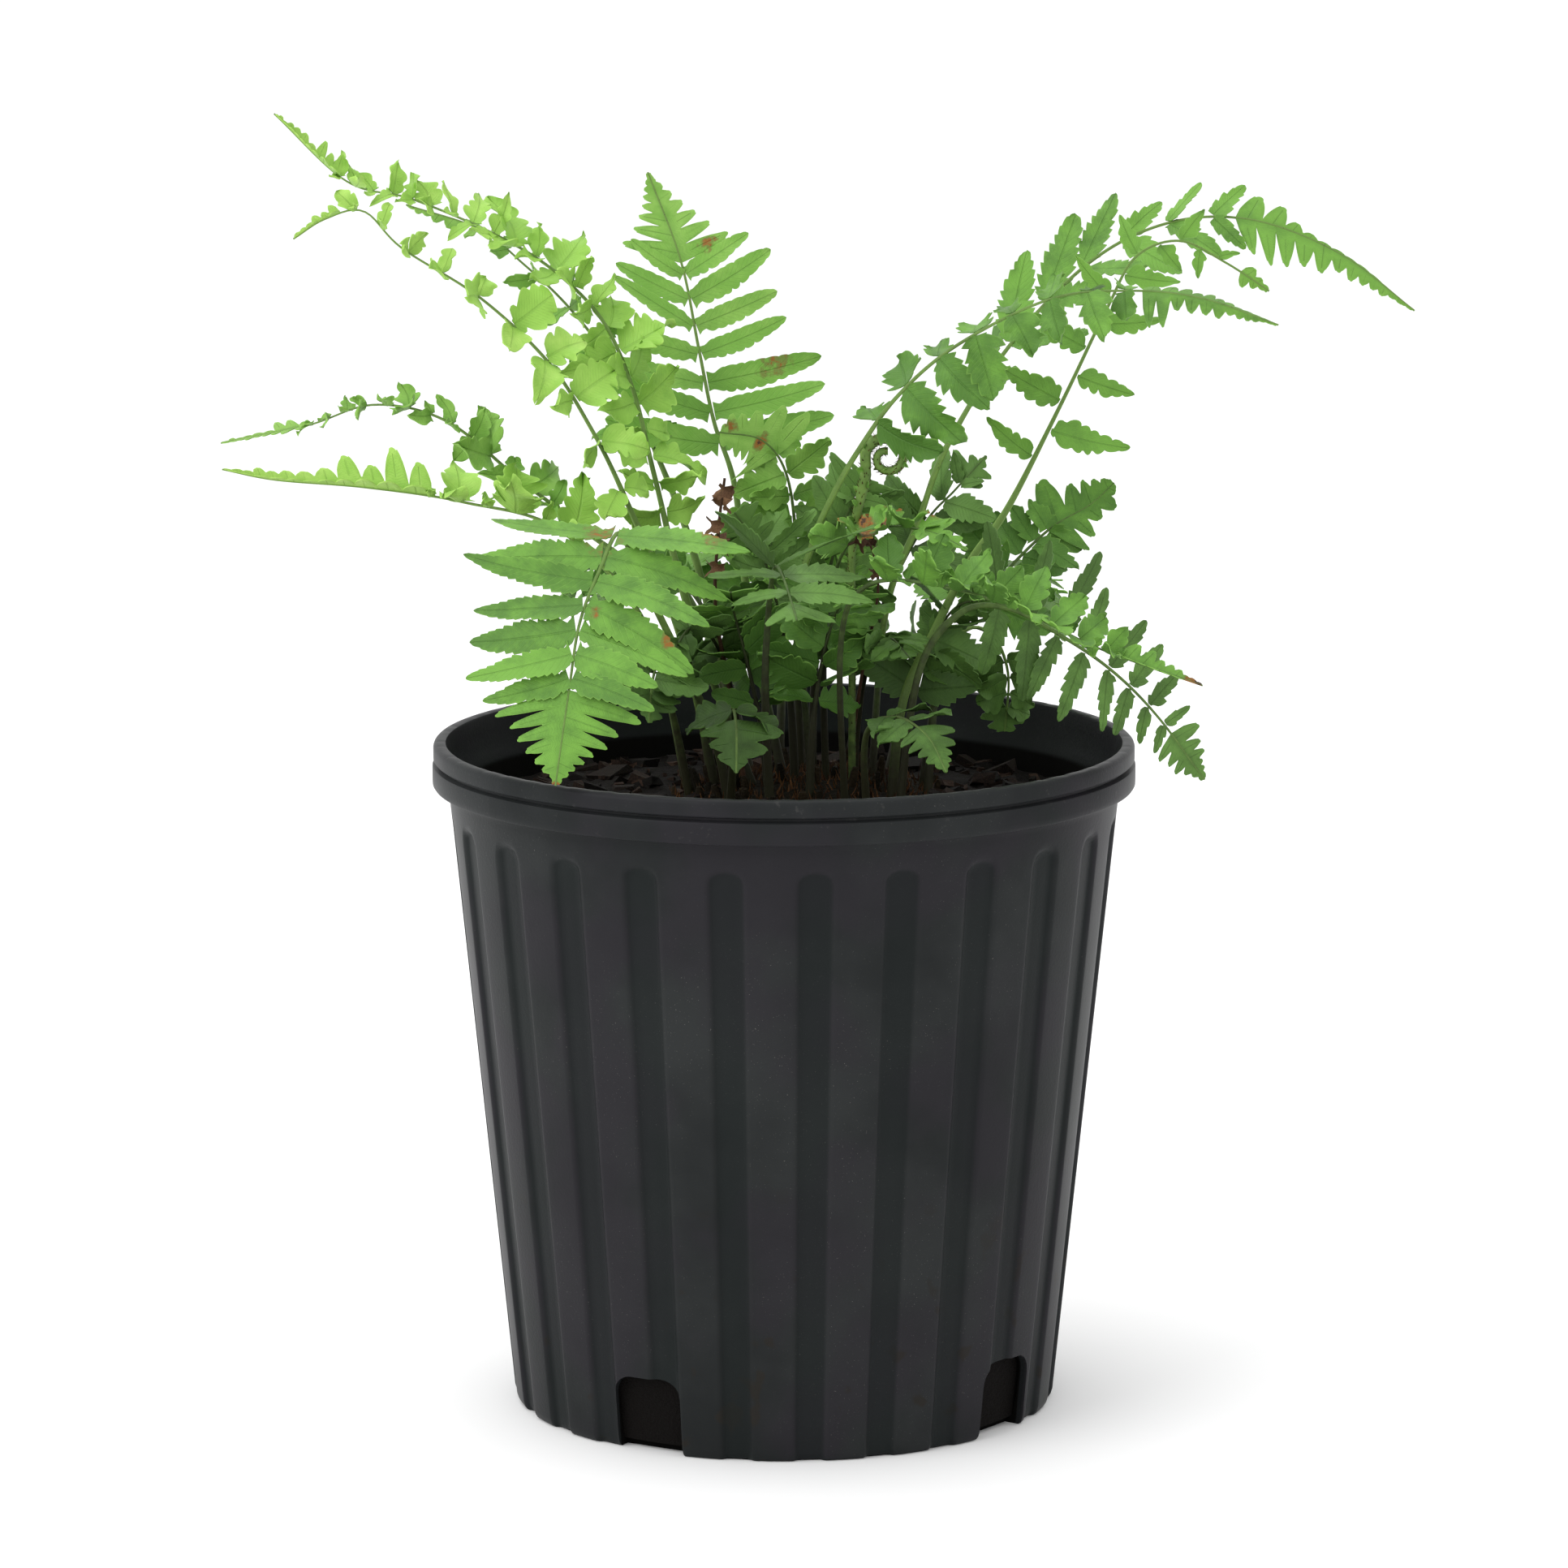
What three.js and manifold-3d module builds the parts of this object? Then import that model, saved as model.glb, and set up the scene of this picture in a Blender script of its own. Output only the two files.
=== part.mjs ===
import * as THREE from 'three';
import { mergeVertices } from 'three/addons/utils/BufferGeometryUtils.js';
import Module from 'manifold-3d';

// A fern in a black nursery pot. Millimetres, +Z up.
// The origin is the middle of the pot's flat underside, and the photograph's side faces -Y.

// Pot
const POT_HEIGHT = 218;
const RIM_RADIUS = 114;
const LIP_WIDTH = 4.5;
const BEAD_DROP = 5.5;
const GROOVE_DROP = 7.1;
const GROOVE_DEPTH = 2;
const BAND_DROP = 14;
const BAND_STEP = 5;
const BODY_TOP_RADIUS = 108;
const BODY_TOP = 195;
const BASE_RADIUS = 88.3;
const BASE_CHAMFER = 3;
const POT_WALL = 1.7;
const POT_FLOOR = 2.2;
const FLUTES = 24;
const FLUTE_START = 1.6;
const FLUTE_SPAN = 7.3;
const FLUTE_SIDE = 0.8;
const FLUTE_DEPTH = 1.5;
const FLUTE_END = 4;
const DRAIN_WIDTH = 24;
const DRAIN_HEIGHT = 25;
const DRAIN_CORNER = 7;
const DRAIN_CUT = 14;
const DRAIN_ANGLES = [-29.3, 52.9, 150.7, 232.9];

// Potting mix and the crown that every stalk grows from
const SEAT_GAP = 0.3;
const MIX_TOP = 196;
const MIX_RISE = 5;
const MIX_SIDES = 28;
const CROWN_CENTRE = [9, 1];
const CROWN_RADIUS = 48;
const CROWN_BOTTOM = 186;
const CROWN_EDGE = 199;
const CROWN_TOP = 206;
const CROWN_SIDES = 18;

// Stalks and leaflets
const STALK_WIDTH = 2.9;
const STALK_TIP_WIDTH = 1;
const STALK_FLATNESS = 0.75;
const STALK_STEP = 22;
const FOOT_LENGTH = 19;
const HOLE_CLEARANCE = 0.4;
const LEAFLET_THICKNESS = 0.7;
const LEAFLET_CLEARANCE = 2.3;
const RIM_CLEARANCE = 1.5;
const LEAFLET_FILL = 0.94;
const LEAFLET_FULLEST = 1.15;
const FOOT_FILL = 0.42;
const BLADE_END = 0.985;
const PAIR_CROWDING = 1.35;
const PLAIN_TAPER = 0.92;
const LIFT_SPREAD = 9;
const SWEEP_SPREAD = 5;
const LENGTH_SPREAD = 0.1;
const BEND_LIMIT = 0.5;
const LIFT_LIMIT = 72;
const SAMPLE_STEP = 2;
const STALK_SAMPLE_STEP = 1.2;

// Each frond is a list of points along its stalk, from the foot in the crown to the tip. bare is the
// share of its length without leaflets, pairs and reach give the leaflets' number and the longest
// one's length, and plump is a leaflet's width over its length. side is where the right-hand
// leaflets point at the first pair and at the tip. lift raises the leaflets out of the blade's
// plane, sweep turns them towards the tip and skew turns the two sides apart, all in degrees.
// taper is how much shorter the last leaflets are than the longest, and staggered leaflets stand
// by turns on one side and the other.
const FRONDS = {
  front_left: {
    points: [[-16, -14, 191], [-24, -18, 226], [-46, -30, 276], [-52, -46, 292], [-58, -60, 282],
      [-64, -72, 267], [-67, -84, 248], [-71, -97, 220]],
    bare: 0.55, pairs: 12, reach: 50, plump: 0.34, side: [[-1, 0.2, 0.1], [-1, 0.1, 0]],
    lift: [0, 0], sweep: [0, 38], skew: -6,
  },
  front_centre: {
    points: [[-4, -26, 191], [-6, -30, 236], [-5, -35, 264], [-3, -48, 281], [0, -66, 280], [4, -84, 270]],
    bare: 0.68, pairs: 4, reach: 50, plump: 0.32, side: [[-1, 0, 0], [-1, 0, 0]],
    lift: [26, -30], sweep: [12, 30],
  },
  upper_left_high: {
    points: [[-6, -4, 191], [-30, 4, 257], [-42, 14, 302], [-49, 22, 329], [-59, 28, 351], [-75, 32, 367],
      [-95, 34, 379], [-121, 34, 390], [-142, 32, 396], [-165, 30, 418]],
    bare: 0.32, pairs: 14, reach: 21, plump: 0.6, side: [[1, 0.35, 0.2], [0.1, 1, 0.3]],
    lift: [10, 45], sweep: [5, 25],
  },
  upper_left_low: {
    points: [[-20, 2, 191], [-33, 0, 250], [-51, -4, 297], [-63, -6, 322], [-76, -6, 342], [-97, -6, 362],
      [-122, -6, 378], [-134, -8, 390], [-146, -12, 388], [-156, -16, 382]],
    bare: 0.4, pairs: 12, reach: 17.5, plump: 0.8, side: [[0.85, 0.5, 0.4], [0, 1, 0.35]],
    lift: [30, 50], sweep: [-12, 30],
  },
  upper_left_back: {
    points: [[-10, 16, 191], [-28, 30, 269], [-44, 46, 310], [-54, 50, 329], [-62, 52, 342], [-73, 54, 355],
      [-85, 56, 366], [-100, 56, 378], [-124, 56, 386]],
    bare: 0.5, pairs: 9, reach: 17, plump: 0.6, side: [[1, 0.4, 0.3], [0.1, 1, 0.3]],
    lift: [-10, -25], sweep: [10, 30],
  },
  mid_left_high: {
    points: [[-22, 24, 191], [-36, 34, 253], [-71, 44, 284], [-87, 48, 296], [-111, 52, 315],
      [-135, 56, 320], [-157, 58, 313], [-186, 58, 307]],
    bare: 0.42, pairs: 10, reach: 16, plump: 0.62, side: [[0.4, 0.8, 0.4], [0, 1, 0.3]],
    lift: [35, 15], sweep: [5, 35],
  },
  mid_left_low: {
    points: [[-30, 12, 191], [-44, 12, 251], [-72, 12, 284], [-104, 10, 294], [-135, 8, 299],
      [-164, 4, 302], [-181, 0, 306]],
    bare: 0.42, pairs: 8, reach: 22, plump: 0.72, side: [[0, 1, 0.2], [0, 1, 0.2]],
    lift: [62, 40], sweep: [5, 35],
  },
  centre_tall: {
    points: [[2, 14, 191], [-11, 24, 254], [-16, 36, 295], [-23, 44, 316], [-28, 52, 339], [-34, 62, 367],
      [-45, 74, 395]],
    bare: 0.54, pairs: 12, reach: 36, plump: 0.28, side: [[1, 0.15, 0.1], [1, 0.15, 0.1]],
    lift: [0, 0], sweep: [4, 50], skew: 12,
  },
  centre_short: {
    points: [[6, 30, 191], [4, 30, 246], [4, 30, 276], [1, 28, 300], [-7, 26, 312], [-21, 24, 315]],
    bare: 0.36, pairs: 6, reach: 24, plump: 0.6, side: [[1, 0, 0], [0.3, 0.1, 1]],
    lift: [0, 10], sweep: [10, 10], taper: 0.6,
  },
  upper_right: {
    points: [[28, 14, 191], [33, 20, 255], [44, 24, 286], [53, 26, 310], [73, 30, 342], [99, 34, 369],
      [125, 36, 382], [152, 36, 383], [181, 34, 372], [205, 30, 354]],
    bare: 0.43, pairs: 13, reach: 30, plump: 0.42, side: [[0, -0.6, -0.75], [0, -0.6, -0.75]],
    lift: [10, 0], sweep: [42, 18],
  },
  upper_right_front: {
    points: [[10, -10, 191], [5, -10, 260], [9, -12, 283], [15, -14, 298], [23, -16, 313], [36, -20, 332],
      [55, -24, 349], [84, -28, 364], [109, -30, 367], [132, -34, 365], [156, -38, 357]],
    bare: 0.465, pairs: 13, reach: 22, plump: 0.75, side: [[0.3, -0.7, -0.4], [0, -0.8, -0.5]],
    lift: [-25, -15], sweep: [-15, 25],
  },
  right_tall: {
    points: [[34, -14, 191], [38, -14, 231], [48, -10, 254], [60, -6, 277], [72, -4, 294], [89, 0, 327],
      [104, 4, 358], [113, 6, 374], [127, 8, 379], [142, 8, 372], [156, 6, 363]],
    bare: 0.5, pairs: 8, reach: 26, plump: 0.4, side: [[0.9, 0, -0.45], [-0.4, -0.3, -0.85]],
    lift: [0, 0], sweep: [0, 35], staggered: true,
  },
  right_front: {
    points: [[20, -26, 191], [18, -37, 254], [26, -47, 275], [47, -56, 277], [74, -64, 270],
      [96, -70, 260], [113, -74, 254], [131, -76, 248]],
    bare: 0.45, pairs: 12, reach: 20, plump: 0.7, side: [[-0.3, -0.95, -0.25], [-0.3, -0.95, -0.25]],
    lift: [58, 25], sweep: [8, 32],
  },
  right_front_low: {
    points: [[36, -28, 191], [43, -30, 244], [56, -32, 264], [71, -34, 266], [89, -36, 257],
      [105, -38, 246], [119, -40, 232], [134, -42, 212]],
    bare: 0.48, pairs: 11, reach: 33, plump: 0.4, side: [[0, -0.15, -1], [0, -0.15, -1]],
    lift: [0, 0], sweep: [-2, 30], skew: -12,
  },
  right_mid: {
    points: [[44, 12, 191], [52, 16, 239], [69, 22, 265], [86, 28, 282], [100, 32, 290], [108, 34, 297]],
    bare: 0.5, pairs: 6, reach: 22, plump: 0.75, side: [[0.6, -0.4, -0.8], [0.6, -0.4, -0.8]],
    lift: [0, 20], sweep: [15, 30], taper: 0.7,
  },
  right_hanging: {
    points: [[46, -2, 191], [50, 2, 240], [59, 5, 253], [68, 9, 250], [73, 12, 237], [72, 14, 218]],
    bare: 0.72, pairs: 3, reach: 15, plump: 0.85, side: [[-1, 0, 0], [-1, 0, 0]],
    lift: [0, 0], sweep: [4, 40], taper: 0.6,
  },
  low_front_left: {
    points: [[-18, -29, 191], [-16, -41, 222], [-16, -52, 236], [-15, -63, 232], [-15, -70, 219]],
    bare: 0.6, pairs: 3, reach: 25, plump: 0.75, side: [[-1, 0, 0], [-1, 0, 0]],
    lift: [-10, -10], sweep: [0, 10],
  },
  low_front_right: {
    points: [[27, -36, 191], [26, -44, 226], [35, -52, 234], [45, -64, 230], [51, -74, 220]],
    bare: 0.52, pairs: 5, reach: 19, plump: 0.75, side: [[-0.7, -0.5, -0.2], [-0.7, -0.5, -0.2]],
    lift: [0, 0], sweep: [15, 40],
  },
  low_left: {
    points: [[-29, -4, 191], [-35, -10, 224], [-40, -20, 244], [-42, -32, 242], [-43, -40, 230]],
    bare: 0.55, pairs: 3, reach: 25, plump: 0.7, side: [[-1, 0.2, 0], [-1, 0, 0]],
    lift: [0, -10], sweep: [10, 30],
  },
  inner_left: {
    points: [[-12, 6, 191], [-16, 2, 228], [-22, -6, 250], [-30, -18, 257], [-36, -30, 250]],
    bare: 0.5, pairs: 5, reach: 24, plump: 0.6, side: [[-0.9, -0.4, 0], [-0.9, -0.4, 0]],
    lift: [0, -10], sweep: [10, 30],
  },
  inner_right: {
    points: [[22, 8, 191], [24, 4, 224], [28, -6, 246], [34, -20, 254], [40, -34, 250]],
    bare: 0.5, pairs: 5, reach: 23, plump: 0.6, side: [[-0.9, -0.3, 0], [-0.9, -0.3, 0]],
    lift: [0, -10], sweep: [10, 30],
  },
  centre_right: {
    points: [[18, 24, 191], [30, 26, 250], [45, 26, 283], [56, 26, 296], [66, 26, 307]],
    bare: 0.62, pairs: 3, reach: 23, plump: 0.5, side: [[0.5, -0.5, -0.65], [0.5, -0.5, -0.65]],
    lift: [0, 0], sweep: [25, 40],
  },
  centre_brown: {
    points: [[14, 2, 191], [13, -4, 250], [19, -20, 282], [32, -34, 292], [46, -44, 292], [58, -50, 287]],
    bare: 0.62, pairs: 5, reach: 20, plump: 0.6, side: [[-0.5, -0.8, -0.2], [-0.5, -0.8, -0.2]],
    lift: [20, 10], sweep: [15, 40],
  },
  left_inner: {
    points: [[-8, 27, 191], [-22, 42, 244], [-37, 51, 264], [-58, 55, 266], [-80, 58, 250]],
    bare: 0.56, pairs: 6, reach: 22, plump: 0.48, side: [[0, 0.9, 0.45], [0, 0.9, 0.45]],
    lift: [0, 0], sweep: [10, 35],
  },
  back_left: {
    points: [[-14, 34, 191], [-24, 50, 240], [-40, 76, 264], [-54, 104, 256], [-66, 132, 234]],
    bare: 0.42, pairs: 7, reach: 28, plump: 0.5, side: [[0.85, 0.5, 0], [0.85, 0.5, 0]],
    lift: [5, 0], sweep: [8, 35],
  },
  back_centre: {
    points: [[-2, 36, 191], [0, 52, 242], [2, 80, 268], [4, 110, 262], [6, 140, 240]],
    bare: 0.42, pairs: 7, reach: 30, plump: 0.5, side: [[1, 0, 0], [1, 0, 0]],
    lift: [5, 0], sweep: [8, 35],
  },
  back_right: {
    points: [[32, 27, 191], [44, 44, 238], [64, 70, 262], [82, 98, 254], [96, 126, 230]],
    bare: 0.42, pairs: 7, reach: 27, plump: 0.5, side: [[0.8, -0.55, 0], [0.8, -0.55, 0]],
    lift: [5, 0], sweep: [8, 35],
  },
  inner_front: {
    points: [[-4, -14, 191], [-7, -14, 222], [-12, -15, 246], [-16, -18, 262], [-17, -26, 270]],
    bare: 0.42, pairs: 5, reach: 24, plump: 0.6, side: [[1, -0.2, 0.1], [1, -0.2, 0.1]],
    lift: [-8, 0], sweep: [12, 30], taper: 0.6,
  },
  inner_centre: {
    points: [[8, -22, 191], [9, -22, 222], [12, -23, 246], [17, -26, 264], [23, -34, 272]],
    bare: 0.42, pairs: 5, reach: 25, plump: 0.6, side: [[1, 0.2, -0.1], [1, 0.2, -0.1]],
    lift: [-8, 0], sweep: [10, 30], taper: 0.6,
  },
  inner_far_right: {
    points: [[37, 2, 191], [40, 0, 222], [46, -4, 246], [55, -8, 262], [66, -14, 266]],
    bare: 0.42, pairs: 5, reach: 24, plump: 0.6, side: [[1, 0, 0], [0.3, 0.2, -0.9]],
    lift: [-8, 0], sweep: [10, 30], taper: 0.6,
  },
  inner_back: {
    points: [[9, 20, 191], [10, 19, 236], [14, 20, 266], [20, 18, 288], [28, 14, 301]],
    bare: 0.5, pairs: 5, reach: 24, plump: 0.6, side: [[1, 0, -0.1], [1, 0, -0.3]],
    lift: [0, 0], sweep: [12, 30], taper: 0.5,
  },
  inner_middle: {
    points: [[4, 4, 191], [2, 4, 232], [-2, 5, 260], [-8, 4, 280], [-16, 0, 292]],
    bare: 0.46, pairs: 6, reach: 25, plump: 0.6, side: [[1, 0.1, 0.1], [1, 0.1, 0.3]],
    lift: [0, 0], sweep: [10, 30], taper: 0.55,
  },
};

// The young frond that is still rolled up: a stalk, then a coil that winds in
const CROZIER_STEM = [[22, -6, 191], [22, -8, 245], [22, -9, 283], [26, -9, 304]];
const CROZIER_COIL_CENTRE = [33, -9, 311];
const CROZIER_COIL_RADIUS = 7.6;
const CROZIER_TURNS = 1.35;
const CROZIER_START = 207;
const CROZIER_TIGHTENING = 0.72;
const CROZIER_COIL_STEPS = 11;
const CROZIER_WIDTH = 3.4;
const CROZIER_STEM_STEPS = 5;
const CROZIER_BEND_STEPS = 20;
const CROZIER_BEND = 0.62;
const CROZIER_BLADE = { bare: 0, side: [[0, 1, 0], [0, 1, 0]] };

const wasm = await Module();
wasm.setup();

// Closed geometry from a list of [x, y, z] vertices and a list of triangles
function geometryOf(vertices, triangles) {
  const geometry = new THREE.BufferGeometry();
  geometry.setAttribute('position', new THREE.Float32BufferAttribute(vertices.flat(), 3));
  geometry.setIndex(triangles.flat());
  return geometry;
}

function toSolid(geometry) {
  const bare = geometry.clone();
  bare.deleteAttribute('normal');
  bare.deleteAttribute('uv');
  const merged = mergeVertices(bare);
  return new wasm.Manifold(new wasm.Mesh({
    numProp: 3,
    vertProperties: new Float32Array(merged.attributes.position.array),
    triVerts: new Uint32Array(merged.index.array),
  }));
}

function toGeometry(solid) {
  const mesh = solid.getMesh();
  const geometry = new THREE.BufferGeometry();
  geometry.setAttribute('position', new THREE.BufferAttribute(new Float32Array(mesh.vertProperties), 3));
  geometry.setIndex(new THREE.BufferAttribute(new Uint32Array(mesh.triVerts), 1));
  return geometry;
}

// A closed solid through rings, listed from the middle of the underside, up the outside, and back
// down to the middle of the top. A ring has as many points as the one before it, or half as many.
function ringSolid(firstPoint, rings, lastPoint) {
  const vertices = [firstPoint, ...rings.flat(), lastPoint];
  const triangles = [];
  let low = 1;
  rings[0].forEach((unused, side) => {
    triangles.push([0, low + ((side + 1) % rings[0].length), low + side]);
  });
  for (let row = 0; row + 1 < rings.length; row += 1) {
    const count = rings[row].length;
    const nextCount = rings[row + 1].length;
    const high = low + count;
    for (let side = 0; side < nextCount; side += 1) {
      const next = (side + 1) % nextCount;
      if (nextCount === count) {
        triangles.push([low + side, low + next, high + next], [low + side, high + next, high + side]);
      } else {
        const [first, middle, last] = [0, 1, 2].map((step) => low + ((side * 2 + step) % count));
        triangles.push([first, middle, high + side], [middle, last, high + next],
          [middle, high + next, high + side]);
      }
    }
    low = high;
  }
  const top = rings.at(-1);
  top.forEach((unused, side) => {
    triangles.push([vertices.length - 1, low + side, low + ((side + 1) % top.length)]);
  });
  return geometryOf(vertices, triangles);
}

// A round ring at one height, where radiusAt gives the radius at each of the angles
function ring(angles, radiusAt, height) {
  return angles.map((angle) => {
    const turn = THREE.MathUtils.degToRad(angle - 90);
    const radius = radiusAt(angle);
    return [radius * Math.cos(turn), radius * Math.sin(turn), height];
  });
}

// The pot's outer radius between the flutes, at a height on its straight tapering body
function bodyRadius(height) {
  return BASE_RADIUS + (BODY_TOP_RADIUS - BASE_RADIUS) * (height / BODY_TOP);
}

function innerRadius(height) {
  return bodyRadius(height) - FLUTE_DEPTH - POT_WALL;
}

// Four angles for each flute: the two edges of its opening and the two edges of its floor
function fluteAngles() {
  const pitch = 360 / FLUTES;
  return Array.from({ length: FLUTES }, (unused, flute) => [
    0, FLUTE_SIDE, FLUTE_SPAN - FLUTE_SIDE, FLUTE_SPAN,
  ].map((step) => flute * pitch + FLUTE_START + step)).flat();
}

function fluteDepthAt(angle) {
  const pitch = 360 / FLUTES;
  const within = (((angle - FLUTE_START) % pitch) + pitch) % pitch;
  const inFloor = within > FLUTE_SIDE / 2 && within < FLUTE_SPAN - FLUTE_SIDE / 2;
  return inFloor ? FLUTE_DEPTH : 0;
}

// An arched drain opening: a block across the wall at the foot of the pot
function drainCutter(angle) {
  const half = DRAIN_WIDTH / 2;
  const shape = new THREE.Shape();
  shape.moveTo(-half, -2);
  shape.lineTo(half, -2);
  shape.lineTo(half, DRAIN_HEIGHT - DRAIN_CORNER);
  shape.quadraticCurveTo(half, DRAIN_HEIGHT, half - DRAIN_CORNER, DRAIN_HEIGHT);
  shape.lineTo(DRAIN_CORNER - half, DRAIN_HEIGHT);
  shape.quadraticCurveTo(-half, DRAIN_HEIGHT, -half, DRAIN_HEIGHT - DRAIN_CORNER);
  const block = new THREE.ExtrudeGeometry(shape, { depth: DRAIN_CUT, bevelEnabled: false, curveSegments: 3 });
  block.rotateX(Math.PI / 2);
  block.translate(0, DRAIN_CUT / 2 + 1 - BASE_RADIUS, 0);
  block.rotateZ(THREE.MathUtils.degToRad(angle));
  return block;
}

function pot() {
  const angles = fluteAngles();
  const fluted = (height) => ring(angles, (angle) => bodyRadius(height) - fluteDepthAt(angle), height);
  const rimAngles = angles.filter((unused, index) => index % 2 === 0);
  const round = (radius, height) => ring(rimAngles, () => radius, height);
  const outer = POT_HEIGHT;
  const rings = [
    ring(angles, (angle) => BASE_RADIUS - 1.6 - fluteDepthAt(angle), 0),
    fluted(BASE_CHAMFER),
    fluted(BODY_TOP - FLUTE_END),
    ring(angles, () => bodyRadius(BODY_TOP), BODY_TOP),
    round(RIM_RADIUS - BAND_STEP, outer - BAND_DROP),
    round(RIM_RADIUS - 0.3, outer - BAND_DROP),
    round(RIM_RADIUS, outer - GROOVE_DROP),
    round(RIM_RADIUS - GROOVE_DEPTH, outer - GROOVE_DROP + 0.3),
    round(RIM_RADIUS - GROOVE_DEPTH, outer - BEAD_DROP - 0.3),
    round(RIM_RADIUS - 0.3, outer - BEAD_DROP),
    round(RIM_RADIUS - 0.3, outer - 1.4),
    round(RIM_RADIUS - 1.6, outer),
    round(RIM_RADIUS - LIP_WIDTH, outer),
    round(innerRadius(outer - BAND_DROP - 4), outer - BAND_DROP - 4),
    round(innerRadius(POT_FLOOR), POT_FLOOR),
  ];
  const body = toSolid(ringSolid([0, 0, 0], rings, [0, 0, POT_FLOOR]));
  const cutters = DRAIN_ANGLES.map((angle) => toSolid(drainCutter(angle)));
  return toGeometry(cutters.reduce((left, cutter) => left.subtract(cutter), body));
}

// The crown is a low knobbly mound, and its outline and top swell and sink by a formula
function crownRing(share, height, grow = 0) {
  const angles = Array.from({ length: CROWN_SIDES }, (unused, side) => side * 360 / CROWN_SIDES);
  return ring(angles, (angle) => {
    const turn = THREE.MathUtils.degToRad(angle);
    const knobs = 1 + 0.05 * Math.sin(3 * turn + 1) + 0.03 * Math.sin(7 * turn);
    return (CROWN_RADIUS * share + grow) * knobs;
  }, height).map(([x, y, z]) => [x + CROWN_CENTRE[0], y + CROWN_CENTRE[1], z]);
}

function crown(stalkHoles) {
  const [x, y] = CROWN_CENTRE;
  const rise = (share) => CROWN_EDGE + (CROWN_TOP - CROWN_EDGE) * Math.cos(share * Math.PI / 2);
  const rings = [
    crownRing(0.94, CROWN_BOTTOM), crownRing(1, CROWN_EDGE),
    crownRing(0.85, rise(0.85)), crownRing(0.5, rise(0.5)),
  ];
  const mound = toSolid(ringSolid([x, y, CROWN_BOTTOM], rings, [x, y, CROWN_TOP]));
  return toGeometry(stalkHoles.reduce((left, hole) => left.subtract(hole), mound));
}

// The potting mix fills the pot and holds the crown in a recess
function pottingMix() {
  const angles = Array.from({ length: MIX_SIDES }, (unused, side) => side * 360 / MIX_SIDES);
  const round = (radius, height) => ring(angles, () => radius, height);
  const floor = POT_FLOOR + SEAT_GAP;
  const rings = [
    round(innerRadius(floor) - 0.5, floor),
    round(innerRadius(MIX_TOP) - 0.5, MIX_TOP),
    round(CROWN_RADIUS * 1.3, MIX_TOP + MIX_RISE * 0.8),
  ];
  const fill = toSolid(ringSolid([0, 0, floor], rings, [...CROWN_CENTRE, MIX_TOP + MIX_RISE]));
  const [x, y] = CROWN_CENTRE;
  const bottom = CROWN_BOTTOM - SEAT_GAP;
  const recess = toSolid(ringSolid([x, y, bottom], [
    crownRing(0.94, bottom, SEAT_GAP * 1.3), crownRing(1, CROWN_EDGE, SEAT_GAP * 1.3),
    crownRing(1, CROWN_TOP, SEAT_GAP * 1.3),
  ], [x, y, CROWN_TOP]));
  return toGeometry(fill.subtract(recess));
}

function mix(from, to, share) {
  return from + (to - from) * share;
}

// A repeatable number between -1 and 1 for one leaflet of one frond
function jitter(seed, index, salt) {
  const wave = Math.sin(seed * 12.9898 + index * 78.233 + salt * 37.719) * 43758.5453;
  return 2 * (wave - Math.floor(wave)) - 1;
}

// A place on the stalk: the point, the direction, the side and the upper face
function stationAt(curve, share, frond) {
  const point = curve.getPointAt(share);
  const along = curve.getTangentAt(share).normalize();
  const turn = THREE.MathUtils.smoothstep(share, frond.bare, 1);
  const [start, end] = frond.side.map((side) => new THREE.Vector3(...side).normalize());
  const side = start.clone().lerp(end, turn);
  side.addScaledVector(along, -side.dot(along)).normalize();
  const face = side.clone().cross(along).normalize();
  const slim = THREE.MathUtils.smoothstep(share, 0.1, 1);
  return { point, along, side, face, half: mix(STALK_WIDTH, STALK_TIP_WIDTH, slim) / 2 };
}

// The leaflets' lengths along the blade: soon at their longest, then shorter to the tip
function reachShare(share, frond) {
  return Math.min(1, 0.8 + 0.8 * share) * (1 - (frond.taper ?? PLAIN_TAPER) * share ** 1.15);
}

// Where the pairs stand, closer together towards the tip, with half the width of each foot
function pairPlaces(frond, length) {
  const places = [];
  const at = (share) => {
    const left = THREE.MathUtils.clamp(1 - share, 0, 1);
    return frond.bare + (BLADE_END - frond.bare) * (1 - left ** PAIR_CROWDING);
  };
  const count = frond.staggered ? frond.pairs * 2 : frond.pairs;
  for (let pair = 0; pair < count; pair += 1) {
    const share = (pair + 0.5) / count;
    const room = (at(share + 0.5 / frond.pairs) - at(share - 0.5 / frond.pairs)) * length;
    const spacing = (at((pair + 1) / count) - at(pair / count)) * length;
    const wide = Math.min(spacing * FOOT_FILL, 0.8 + 0.1 * frond.reach * reachShare(share, frond));
    const foot = mix(Math.min(wide, 0.9), wide, THREE.MathUtils.smoothstep(share, 0.25, 0.8));
    const hands = frond.staggered ? [pair % 2 ? 1 : -1] : [1, -1];
    places.push({ pair, hands, share, at: at(share), room, foot: foot / length });
  }
  return places;
}

// A leaflet's half widths along its length, with an ear near its foot and a cut edge
const BIG_EDGE = { steps: [0.14, 0.42, 0.76], front: [1.08, 0.8, 0.66], back: [0.86, 0.98, 0.5] };
const SMALL_EDGE = { steps: [0.2, 0.65], front: [1, 0.7], back: [0.9, 0.62] };
const TIP_EDGE = { steps: [0.4], front: [0.9], back: [0.9] };
const BIG_LENGTH = 22;
const SMALL_LENGTH = 8;

function edgeFor(length) {
  if (length > BIG_LENGTH) return BIG_EDGE;
  return length > SMALL_LENGTH ? SMALL_EDGE : TIP_EDGE;
}

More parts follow.
